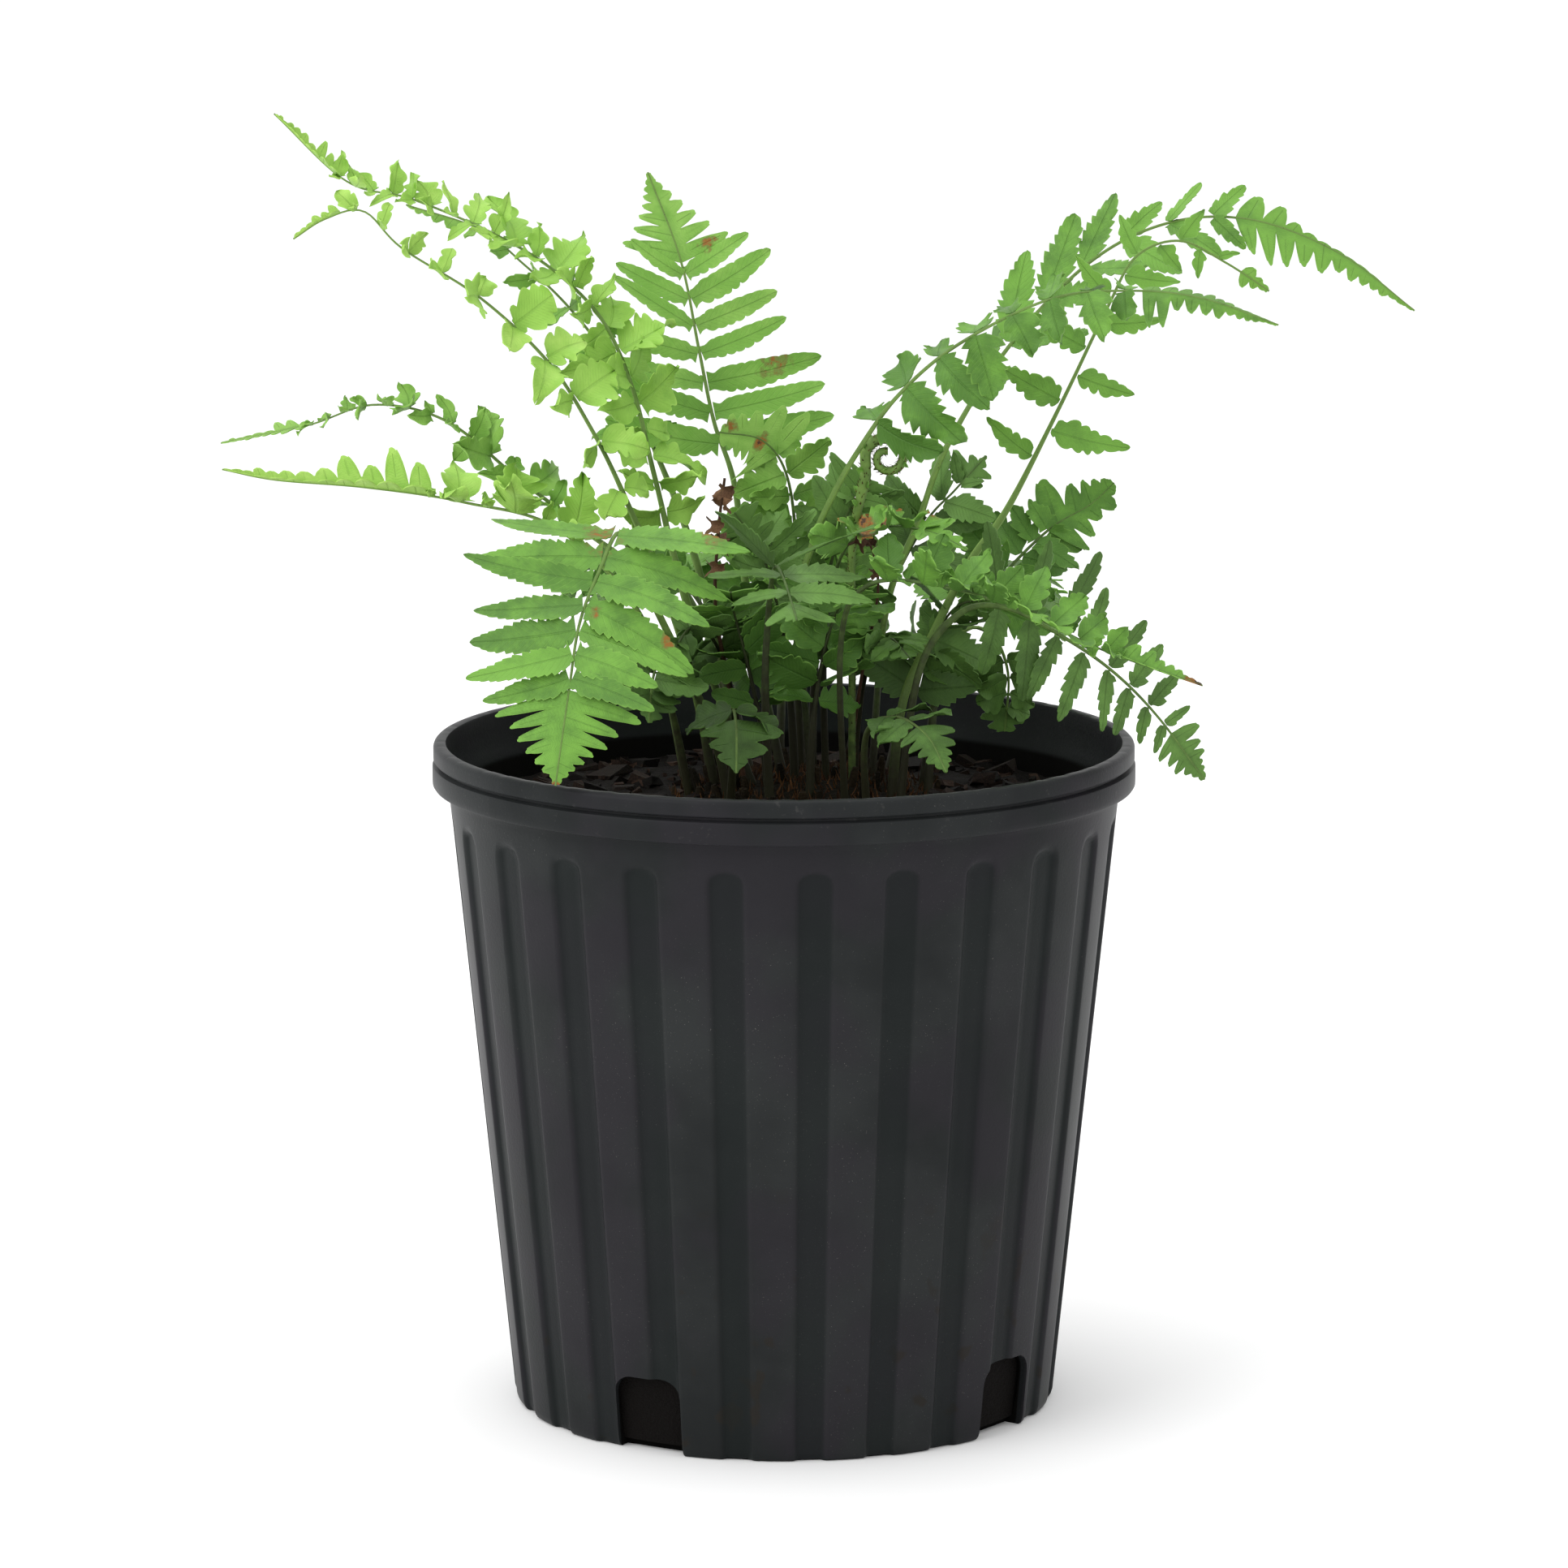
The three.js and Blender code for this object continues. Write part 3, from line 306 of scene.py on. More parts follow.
@dataclass(frozen=True)
class PotFinish:
    """Black moulded plastic: purplish clouds, dust, mud at the foot, a scuffed rim, and painted shade:
    greenish in the flutes and near black inside the wall.
    """

    name: str = "pot plastic"
    black: Colour = (0.0142, 0.0158, 0.0162)
    worn: Colour = (0.0245, 0.0266, 0.0270)
    dust: Colour = (0.12, 0.115, 0.108)
    inner_wall_shade: Colour = (0.003, 0.0028, 0.0025)
    # Painted shade in the flutes' recesses.
    groove: Colour = (0.0086, 0.0114, 0.0112)
    violet: Colour = (0.0215, 0.0190, 0.0236)
    mud: Colour = (0.020, 0.0165, 0.0125)
    foot: float = 88.3 * MM
    taper: float = 19.7 / 195
    band: float = 204.0 * MM

    CLOUDS, PURPLE, MUDDY, SCUFFS, GRAIN, SPECKS = 14.0, 22.0, 95.0, 240.0, 900.0, 2300.0
    VIOLET_SHOW, DUST_SHOW, MUD_SHOW, SCUFF_SHOW, GROOVE_SHADE_SHOW = 0.6, 0.7, 0.6, 0.14, 0.6
    RELIEF = 0.12 * MM
    SHINE = 0.055

    def material(self) -> Material:
        """Builds the plastic's nodes."""
        shader = Shader(self.name)
        broad, fine = shader.noise(self.CLOUDS, 4.0, 0.6), shader.noise(self.GRAIN, 3.0, 0.6)
        high = shader.height_parts()[2]
        colour = shader.mix(shader.ramp(broad, 0.35, 0.68), self.black, self.worn)
        purple = shader.ramp(shader.noise(self.PURPLE), 0.42, 0.62)
        colour = shader.tinge(colour, purple, self.VIOLET_SHOW, self.violet)
        dusty = shader.ramp(shader.noise(self.SPECKS, 1.0, 0.5), 0.72, 0.78)
        dusty = shader.times(dusty, shader.ramp(broad, 0.4, 0.6))
        colour = shader.tinge(colour, dusty, self.DUST_SHOW, self.dust)
        muddy = shader.ramp(shader.noise(self.MUDDY, 2.0), 0.63, 0.7)
        muddy = shader.times(muddy, shader.ramp(high, 0.11, 0.02))
        colour = shader.tinge(colour, muddy, self.MUD_SHOW, self.mud)
        scuffed = shader.ramp(shader.noise(self.SCUFFS, 3.0, 0.7), 0.62, 0.74)
        scuffed = shader.times(scuffed, shader.ramp(high, self.band - MM, self.band + MM))
        colour = shader.tinge(colour, scuffed, self.SCUFF_SHOW, self.dust)
        depth = self.depth(shader)
        inside = shader.ramp(depth, -2.2 * MM, -2.8 * MM)
        # Painted shade: a greenish darkening in the flutes' recesses.
        colour = shader.tinge(colour, shader.ramp(depth, -0.2 * MM, -1.3 * MM), self.GROOVE_SHADE_SHOW, self.groove)
        # Painted shade: the inside of the wall is near black.
        colour = shader.mix(inside, colour, self.inner_wall_shade)
        roughness = shader.plus(shader.times(broad, 0.22), 0.27)
        roughness = shader.maths("ADD", roughness, shader.times(inside, 0.5), clamp=True)
        shader.bump(shader.plus(fine, shader.times(broad, 2.0)), self.RELIEF, 0.5)
        return shader.dress(colour, roughness, self.SHINE)

    def depth(self, shader: Shader) -> Socket:
        """Gives how far out a point stands from the wall between the flutes, below 0 within it."""
        across, deep, high = shader.height_parts()
        square = shader.plus(shader.times(across, across), shader.times(deep, deep))
        wall = shader.plus(shader.times(high, self.taper), self.foot)
        return shader.minus(shader.maths("SQRT", square), wall)


@dataclass(frozen=True)
class EarthFinish:
    """Crumbly earth, bark or rootstock: two browns mixed by noise, with a rough surface."""

    name: str
    dark: Colour
    pale: Colour
    scale: float
    roughness: float = 0.9
    depth: float = 0.9 * MM

    FINER = 7
    SHINE = 0.12

    def material(self) -> Material:
        """Builds the earth's nodes."""
        shader = Shader(self.name)
        broad, fine = shader.noise(self.scale, 5.0, 0.65), shader.noise(self.scale * self.FINER, 4.0, 0.6)
        share = shader.plus(shader.times(fine, 0.6), shader.times(shader.paint()[2], 0.55))
        colour = shader.mix(shader.ramp(share, 0.35, 0.95), self.dark, self.pale)
        colour = shader.tinge(colour, shader.ramp(broad, 0.42, 0.3), 0.8, self.dark)
        shader.bump(shader.plus(fine, broad), self.depth, 0.9)
        return shader.dress(colour, self.roughness, self.SHINE)


def ring_faces(rings: int, columns: int) -> list[Face]:
    """Lists the faces of a closed stack of rings.

    Args:
        rings: how many rings there are.
        columns: how many points each ring has.

    Returns:
        The faces, of which the last ones meet two points that come after the rings and cap their two ends.
    """
    last, low, high = (rings - 1) * columns, rings * columns, rings * columns + 1
    faces = []
    for row in range(0, last, columns):
        for column in range(columns):
            beside = (column + 1) % columns
            faces.append((row + column, row + beside, row + columns + beside, row + columns + column))
    for column in range(columns):
        beside = (column + 1) % columns
        faces.append((low, beside, column))
        faces.append((high, last + column, last + beside))
    return faces


def even_paint(count: int, tint: float) -> np.ndarray:
    """Gives the same paint to a number of vertices."""
    return np.tile((0, 0.5, tint, 0), (count, 1))


@dataclass
class Station:
    """A place on a stalk: the point, the direction, the side, the upper face and half the stalk's width."""

    point: np.ndarray
    along: np.ndarray
    side: np.ndarray
    face: np.ndarray
    half: float


class LeafGrid:
    """The middle surface of a leaf and its paint, row by row from its foot to its tip."""

    def __init__(self, rows: int, across: Sequence[float]) -> None:
        """Takes the number of rows after the first, and the columns' places from -1 to 1."""
        self.rows, self.across = rows, across
        self.points = np.zeros((rows + 1, len(across), 3))
        self.paint = np.zeros((rows + 1, len(across), 4))

    def steps(self) -> Iterator[tuple[int, float]]:
        """Goes through the rows, with each one's share of the way to the tip."""
        return ((row, row / self.rows) for row in range(self.rows + 1))


@dataclass
class Shell:
    """Collects closed shells and makes one smooth object of them."""

    points: list[np.ndarray] = field(default_factory=list)
    faces: list[Face] = field(default_factory=list)
    finish: list[int] = field(default_factory=list)
    paint: list[np.ndarray] = field(default_factory=list)
    count: int = 0

    SCALE_FACES = ((0, 1, 2), (0, 3, 1), (1, 3, 2), (2, 3, 0))

    def add(self, points: np.ndarray, faces: Iterable[Face], finish: int, paint: np.ndarray) -> None:
        """Adds one closed shell.

        Args:
            points: its vertices, one row each.
            faces: its faces, numbered from the shell's own first vertex.
            finish: the place of its material in the object's list.
            paint: its paint, four parts for each vertex.
        """
        before = len(self.faces)
        self.faces.extend(tuple(corner + self.count for corner in face) for face in faces)
        self.finish.extend([finish] * (len(self.faces) - before))
        self.points.append(points)
        self.paint.append(paint)
        self.count += len(points)

    def rings(self, rows: Sequence[Sequence[Point]], caps: Sequence[Point],
              paint: Sequence[float] = (0.0, 0.0, 0.0, 0.0)) -> None:
        """Adds a closed stack of rings.

        Args:
            rows: the rings' points in millimetres.
            caps: the points that close the first and the last ring.
            paint: the one paint that all of it has.
        """
        points = np.vstack([*rows, *caps]) * MM
        self.add(points, ring_faces(len(rows), len(rows[0])), 0, np.tile(paint, (len(points), 1)))

    def tube(self, stations: Sequence[Station], halves: Sequence[float], flat: float, finish: int,
             paint: Sequence[tuple[float, float]], columns: int = 8) -> None:
        """Adds a closed tube along a stalk.

        Args:
            stations: the places on its middle line.
            halves: half its width at each of them.
            flat: its height over its width.
            finish: the place of its material in the object's list.
            paint: the along and the tint part at each of them.
            columns: how many sides it has.
        """
        turns = circle(columns)
        round_it = 0.5 - 0.25 * (1 - np.sin(turns)) * np.sign(np.cos(turns))
        rows = [one.point + np.outer(np.cos(turns), one.side * half)
                + np.outer(np.sin(turns), one.face * half * flat) for one, half in zip(stations, halves)]
        blank = np.zeros(columns)
        colours = [np.column_stack([blank + along, round_it, blank + tint, blank]) for along, tint in paint]
        caps = [(paint[end][0], 0.5, paint[end][1], 0) for end in (0, -1)]
        points = np.vstack([*rows, stations[0].point, stations[-1].point])
        self.add(points, ring_faces(len(stations), columns), finish, np.vstack([*colours, caps]))

    def sheet(self, leaf: LeafGrid, ups: np.ndarray, thickness: float, finish: int = 0) -> None:
        """Adds a thin closed sheet along a leaf's grid.

        Args:
            leaf: its middle surface and its paint.
            ups: the way its thickness goes, once or at each place of the grid.
            thickness: its thickness in metres.
            finish: the place of its material in the object's list.
        """
        rows, columns = leaf.points.shape[:2]
        thick = np.broadcast_to(ups, leaf.points.shape) * thickness / 2
        points = np.vstack([(leaf.points + thick).reshape(-1, 3), (leaf.points - thick).reshape(-1, 3)])
        under = rows * columns
        faces = []
        for row in range(rows - 1):
            for column in range(columns - 1):
                a = row * columns + column
                b, c, d = a + 1, a + columns + 1, a + columns
                faces.append((a, b, c, d))
                faces.append((under + a, under + d, under + c, under + b))
        rim = [column for column in range(columns)]
        rim += [row * columns + columns - 1 for row in range(1, rows)]
        rim += [(rows - 1) * columns + column for column in range(columns - 2, -1, -1)]
        rim += [row * columns for row in range(rows - 2, 0, -1)]
        for start, end in zip(rim, rim[1:] + rim[:1]):
            faces.append((start, under + start, under + end, end))
        flat = leaf.paint.reshape(-1, 4)
        self.add(points, faces, finish, np.vstack([flat, flat]))

    def scale(self, foot: np.ndarray, wide: np.ndarray, deep: np.ndarray, tip: np.ndarray, finish: int,
              tint: float) -> None:
        """Adds one thin pointed scale, from half its width, its depth and its two ends."""
        points = np.array([foot - wide, foot + wide, foot + deep, tip])
        self.add(points, self.SCALE_FACES, finish, even_paint(len(points), tint))

    def object(self, name: str, materials: Sequence[Material], sharp: float = 50.0) -> bpy.types.Object:
        """Makes the object.

        Args:
            name: the object's name.
            materials: its materials, in the order that finish counts.
            sharp: the angle in degrees from which an edge stays sharp.

        Returns:
            The object, linked to the scene.
        """
        mesh = bpy.data.meshes.new(name)
        mesh.from_pydata(np.vstack(self.points).tolist(), [], self.faces)
        for material in materials:
            mesh.materials.append(material)
        mesh.polygons.foreach_set("material_index", self.finish)
        layer = mesh.color_attributes.new(PAINT, "FLOAT_COLOR", "POINT")
        layer.data.foreach_set("color", np.vstack(self.paint).astype(np.float32).ravel())
        return smooth_object(name, mesh, sharp)


def smooth_object(name: str, mesh: bpy.types.Mesh, sharp: float) -> bpy.types.Object:
    """Turns every face outward, smooths the mesh up to an angle in degrees, and links it as an object."""
    work = bmesh.new()
    work.from_mesh(mesh)
    bmesh.ops.recalc_face_normals(work, faces=work.faces)
    work.to_mesh(mesh)
    work.free()
    mesh.polygons.foreach_set("use_smooth", [True] * len(mesh.polygons))
    mesh.set_sharp_from_angle(angle=math.radians(sharp))
    return link(bpy.data.objects.new(name, mesh))


def settle(piece: bpy.types.Object, slot: str, *nodes: str) -> None:
    """Rides a piece on the part's one body and hides the solids that it stands for."""
    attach(piece, "root")
    if nodes:
        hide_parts(*nodes)
    LOG.info("%s: %d faces", piece.name, len(piece.data.polygons))


class StalkCurve:
    """The smooth line through a stalk's points, measured along its length as the solids measure it."""

    DIVISIONS = 200
    STEP = 0.0001

    def __init__(self, points: Sequence[Point]) -> None:
        """Takes the points in millimetres, from the foot to the tip."""
        own = np.array(points, dtype=float) * MM
        self.points = np.vstack([2 * own[0] - own[1], own, 2 * own[-1] - own[-2]])
        self.spans = len(own) - 1
        places = np.array([self.at(step / self.DIVISIONS) for step in range(self.DIVISIONS + 1)])
        self.lengths = np.concatenate([[0], np.cumsum(np.linalg.norm(np.diff(places, axis=0), axis=1))])
        self.length = float(self.lengths[-1])

    def at(self, parameter: float) -> np.ndarray:
        """Gives the point at a parameter between 0 and 1."""
        span = min(int(parameter * self.spans), self.spans - 1)
        share = parameter * self.spans - span
        before, start, end, after = self.points[span:span + 4]
        lead, trail = (end - before) / 2, (after - start) / 2
        return (start + lead * share + (3 * (end - start) - 2 * lead - trail) * share ** 2
                + (2 * (start - end) + lead + trail) * share ** 3)

    def parameter(self, share: float) -> float:
        """Gives the parameter at a share of the length."""
        return float(np.interp(share * self.length, self.lengths, np.linspace(0, 1, self.DIVISIONS + 1)))

    def tangent(self, share: float) -> np.ndarray:
        """Gives the direction at a share of the length."""
        parameter = self.parameter(share)
        return unit(self.at(min(1, parameter + self.STEP)) - self.at(max(0, parameter - self.STEP)))

    def station(self, share: float, sides: Sequence[Point], bare: float) -> Station:
        """Finds a station, as the solids do.

        Args:
            share: the share of the length.
            sides: where the right-hand leaflets point at the first pair and at the tip.
            bare: the share of the length without leaflets.

        Returns:
            The station.
        """
        along = self.tangent(share)
        start, end = (unit(np.array(side, dtype=float)) for side in sides)
        side = start + (end - start) * smoothstep(share, bare, 1)
        side = unit(side - along * side.dot(along))
        half = blend(STALK_WIDTH, STALK_TIP_WIDTH, smoothstep(share, 0.1, 1)) / 2
        return Station(self.at(self.parameter(share)), along, side, unit(np.cross(side, along)), half)


STALK_WIDTH = 2.9 * MM
STALK_TIP_WIDTH = 1.0 * MM
STALK_FLATNESS = 0.75
SOLID_LEAF = 0.7 * MM
BEND_LIMIT = 0.5
LIFT_LIMIT = 72.0


@dataclass(frozen=True)
class Place:
    """Where a pair of leaflets, or one that stands alone, grows from the stalk."""

    pair: int
    hands: tuple[int, ...]
    share: float
    at: float
    room: float
    foot: float


@dataclass
class Leaflet:
    """One leaflet: its foot, the ways it points, and its size."""

    base: np.ndarray
    out: np.ndarray
    front: np.ndarray
    up: np.ndarray
    length: float
    width: float
    curl: float
    sweep: float
    share: float
    hand: int

    LEAST = 0.4 * MM
    SIDE_GAP = 0.6 * MM

    def rib(self, step: float, hook: float = 0.0) -> np.ndarray:
        """Gives the midrib's point at a share of the length, with the tip hooked aside."""
        bent = self.length * step ** 2
        straight = self.base + self.out * self.length * step
        return straight - self.up * self.curl * bent + self.front * hook * bent

    def room(self, step: float) -> float:
        """Gives how far a leaning half may reach before it meets the stalk."""
        clear = self.length * step * math.cos(self.sweep) - self.SIDE_GAP
        return max(self.LEAST, clear / max(abs(math.sin(self.sweep)), 1e-6))


@dataclass(frozen=True)
class LeafletCut:
    """A leaflet's fine outline, and how its edge is cut.

    full is its width over the solid's. foot, ear, shoulder, late and blunt are its half widths from the foot
    to the tip, over half its full width. tooth is a tooth's length in millimetres, and depth its share of the
    half width. even is the front edge's share of that depth, and lean is how far the edge runs ahead, over
    the half width. fold and ripple raise its sides, and hooks bend the tips of the right and left leaflets.
    """

    margin: Margin
    tooth: float
    depth: float
    full: float = 1.15
    foot: float = 0.35
    ear: float = 1.08
    shoulder: float = 0.92
    late: float = 0.64
    blunt: float = 0.3
    fold: float = 0.14
    ripple: float = 0.05
    hooks: tuple[float, float] = (0.0, 0.0)
    even: float = 1.0
    lean: float = 0.3

    KNOTS = (0.0, 0.05, 0.16, 0.42, 0.76, 0.93, 1.0)
    END_SLOPE = 2.5
    JOINED_FOOT = 1.1
    UNEVEN, WAVER, FADE = 0.35, 0.12, 0.3
    TOOTH_HOLLOW, LOBE_HOLLOW = 0.8, 0.6

    def halves(self, joined: float, mood: float) -> tuple[tuple[float, ...], tuple[float, ...]]:
        """Lists the front and back half widths at the knots, over half the full width.

        Args:
            joined: how far the leaflet's foot is merged with its neighbours', from 0 to 1.
            mood: how much more pointed than its kind the leaflet is, from -1 to 1.

        Returns:
            The front and the back half widths.
        """
        foot, near = blend(self.foot, self.JOINED_FOOT, joined), blend(0.8, self.JOINED_FOOT, joined)
        shoulder = self.shoulder * (1 - 0.14 * joined)
        late = self.late * (1 - 0.2 * joined) * (1 - 0.22 * mood)
        ear, blunt = self.ear * (1 + 0.15 * mood), self.blunt * (1 - 0.4 * mood)
        front = (foot, near * ear * 0.85, ear, shoulder, late * 1.06, blunt, 0.0)
        back = (foot, near * 0.7, min(ear, 0.88), shoulder * 1.04, late * 0.9, blunt * 0.92, 0.0)
        return front, back

    def smooth(self, values: Sequence[float], step: float) -> float:
        """Goes smoothly through the half widths at the knots."""
        places, last = self.KNOTS, len(self.KNOTS) - 1
        span = next((index for index in range(last) if step <= places[index + 1]), last - 1)
        rises = [(values[index + 1] - values[index]) / (places[index + 1] - places[index])
                 for index in range(last)]
        slopes = [rises[0]]
        for left, right in zip(rises, rises[1:]):
            slopes.append(0.0 if left * right <= 0 else 2 * left * right / (left + right))
        slopes.append(self.END_SLOPE * rises[-1])
        wide = places[span + 1] - places[span]
        share = (step - places[span]) / wide
        square, cube = share ** 2, share ** 3
        value = ((2 * cube - 3 * square + 1) * values[span]
                 + (cube - 2 * square + share) * wide * slopes[span]
                 + (3 * square - 2 * cube) * values[span + 1] + (cube - square) * wide * slopes[span + 1])
        return max(0.0, value)

    def bite(self, length: float, step: float, phase: float, ahead: bool) -> float:
        """Gives the share of the half width that the edge keeps at a share of the length.

        Args:
            length: the leaflet's length.
            step: the share of its length.
            phase: where in a tooth the edge begins.
            ahead: whether it is the front edge.

        Returns:
            The share that is kept.
        """
        turn = length * step / (self.tooth * MM) + phase + self.WAVER * math.sin(11 * step + 9 * phase)
        part = turn - math.floor(turn)
        depth = self.depth * (1 + self.UNEVEN * math.sin(1.7 * math.floor(turn) + 5 * phase))
        depth *= (1 - self.FADE * step) * (self.even if ahead else 1.0)
        if self.margin is Margin.SERRATE:
            return 1 - depth * (1 - part ** self.TOOTH_HOLLOW)
        if self.margin is Margin.CRENATE:
            return 1 - depth * (1 - math.sqrt(max(0.0, 1 - (2 * part - 1) ** 2)))
        return 1 - depth * (1 - abs(math.sin(math.pi * part)) ** self.LOBE_HOLLOW)


POINTED = LeafletCut(Margin.SERRATE, 2.9, 0.24, full=1.4, foot=1.0, ear=1.14, shoulder=0.93, late=0.62,
                     fold=0.1, ripple=0.03, hooks=(-0.1, 0.08), lean=0.2)
SERRATE = LeafletCut(Margin.SERRATE, 3.2, 0.32, full=1.12, ear=1.12, shoulder=0.9, late=0.6)
TOOTHED = LeafletCut(Margin.SERRATE, 3.6, 0.38, full=0.88, foot=0.3, ear=1.1, late=0.66, blunt=0.36,
                     fold=0.12, lean=0.4)
CRENATE = LeafletCut(Margin.CRENATE, 3.4, 0.32, full=1.0, foot=0.4, ear=1.04, shoulder=0.95, late=0.68,
                     blunt=0.34, fold=0.1, ripple=0.04)
FINGER = LeafletCut(Margin.CRENATE, 3.6, 0.3, full=0.92, foot=0.8, ear=0.94, shoulder=0.95, late=0.72,
                    blunt=0.42, fold=0.08, ripple=0.04, hooks=(0.1, 0.1), even=0.5, lean=0.1)
SCALLOPED = LeafletCut(Margin.LOBED, 4.4, 0.46, full=0.98, foot=0.3, ear=0.86, shoulder=1.04, late=0.68,
                       blunt=0.32, fold=0.3, ripple=0.16, lean=0.5)
SPIKED = LeafletCut(Margin.LOBED, 4.4, 0.46, full=1.1, foot=0.7, ear=1.1, shoulder=0.9, late=0.5, blunt=0.18,
                    fold=0.36, ripple=0.2, hooks=(0.25, 0.25), lean=0.45)
JAGGED = LeafletCut(Margin.SERRATE, 3.6, 0.42, full=1.04, foot=0.45, ear=1.02, shoulder=0.96, fold=0.26,
                    ripple=0.13, lean=0.5)
LOBED = LeafletCut(Margin.LOBED, 4.0, 0.5, full=0.98, foot=0.15, ear=1.15, shoulder=0.88, late=0.5,
                   blunt=0.24, fold=0.12, ripple=0.06, hooks=(0.1, 0.1), even=0.7, lean=0.5)
BROAD = LeafletCut(Margin.LOBED, 4.0, 0.44, full=1.02, foot=0.3, ear=1.0, shoulder=1.0, late=0.66, blunt=0.32,
                   fold=0.22, ripple=0.13, lean=0.5)


@dataclass(frozen=True)
class Blemish:
    """A brown mark in the front view, in millimetres, with its radius and how brown it is."""

    x: float
    z: float
    radius: float
    strength: float = 1.0


Hands = tuple[float, float]


@dataclass(frozen=True)
class FrondPlan:
    """One frond's sizes, which repeat the solid's, and how it is dressed. Lengths are in millimetres.

    From cut on, it holds what the solid doesn't: the leaflets' cut, the green and its tint, which are partly
    painted light and shade, how brown the stalk is and how much painted shade darkens its green, from where
    the leaflets merge, the merged tip's lobes and clefts, the size of the leaflets in between, and how wild,
    turned ahead, trimmed, dry and marked they are. Hands are the right and the left side, and trims are sizes
    at the first pair and at the tip.
    """

    node: str
    points: tuple[Point, ...]
    bare: float
    pairs: int
    reach: float
    side: tuple[Point, Point]
    plump: float = 0.6
    lift: tuple[float, float] = (0, 0)
    sweep: tuple[float, float] = (10, 30)
    skew: float = 0.0
    taper: float = 0.92
    staggered: bool = False
    cut: LeafletCut = SERRATE
    tone: Tone = Tone.MID
    tint: float = 0.8
    bark: float = 0.5
    joined: float = 0.6
    lobe: float = 5.5
    cleft: float = 0.8
    extra: float = 0.0
    tips: Hands = (1.0, 1.0)
    wild: float = 0.3
    ahead: Hands = (0.0, 0.0)
    trims: tuple[Hands, Hands] = ((1.0, 1.0), (1.0, 1.0))
    dry: float = 0.0
    marks: tuple[Blemish, ...] = ()


class SolidTips:
    """Finds out which bend of a leaflet the solid has, from the solid's own vertices."""

    NEAR = 0.12 * MM

    def __init__(self, node: str) -> None:
        """Reads the node's vertices."""
        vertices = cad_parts[node].data.vertices
        self.tree = kdtree.KDTree(len(vertices))
        for index, vertex in enumerate(vertices):
            self.tree.insert(vertex.co, index)
        self.tree.balance()

    def has(self, leaflet: Leaflet) -> bool:
        """Says whether both tips of a leaflet's skin are vertices of the solid."""
        tip, skin = leaflet.rib(1.0), leaflet.up * SOLID_LEAF / 2
        return all(self.tree.find(Vector(tip + skin * way))[2] < self.NEAR for way in (1, -1))


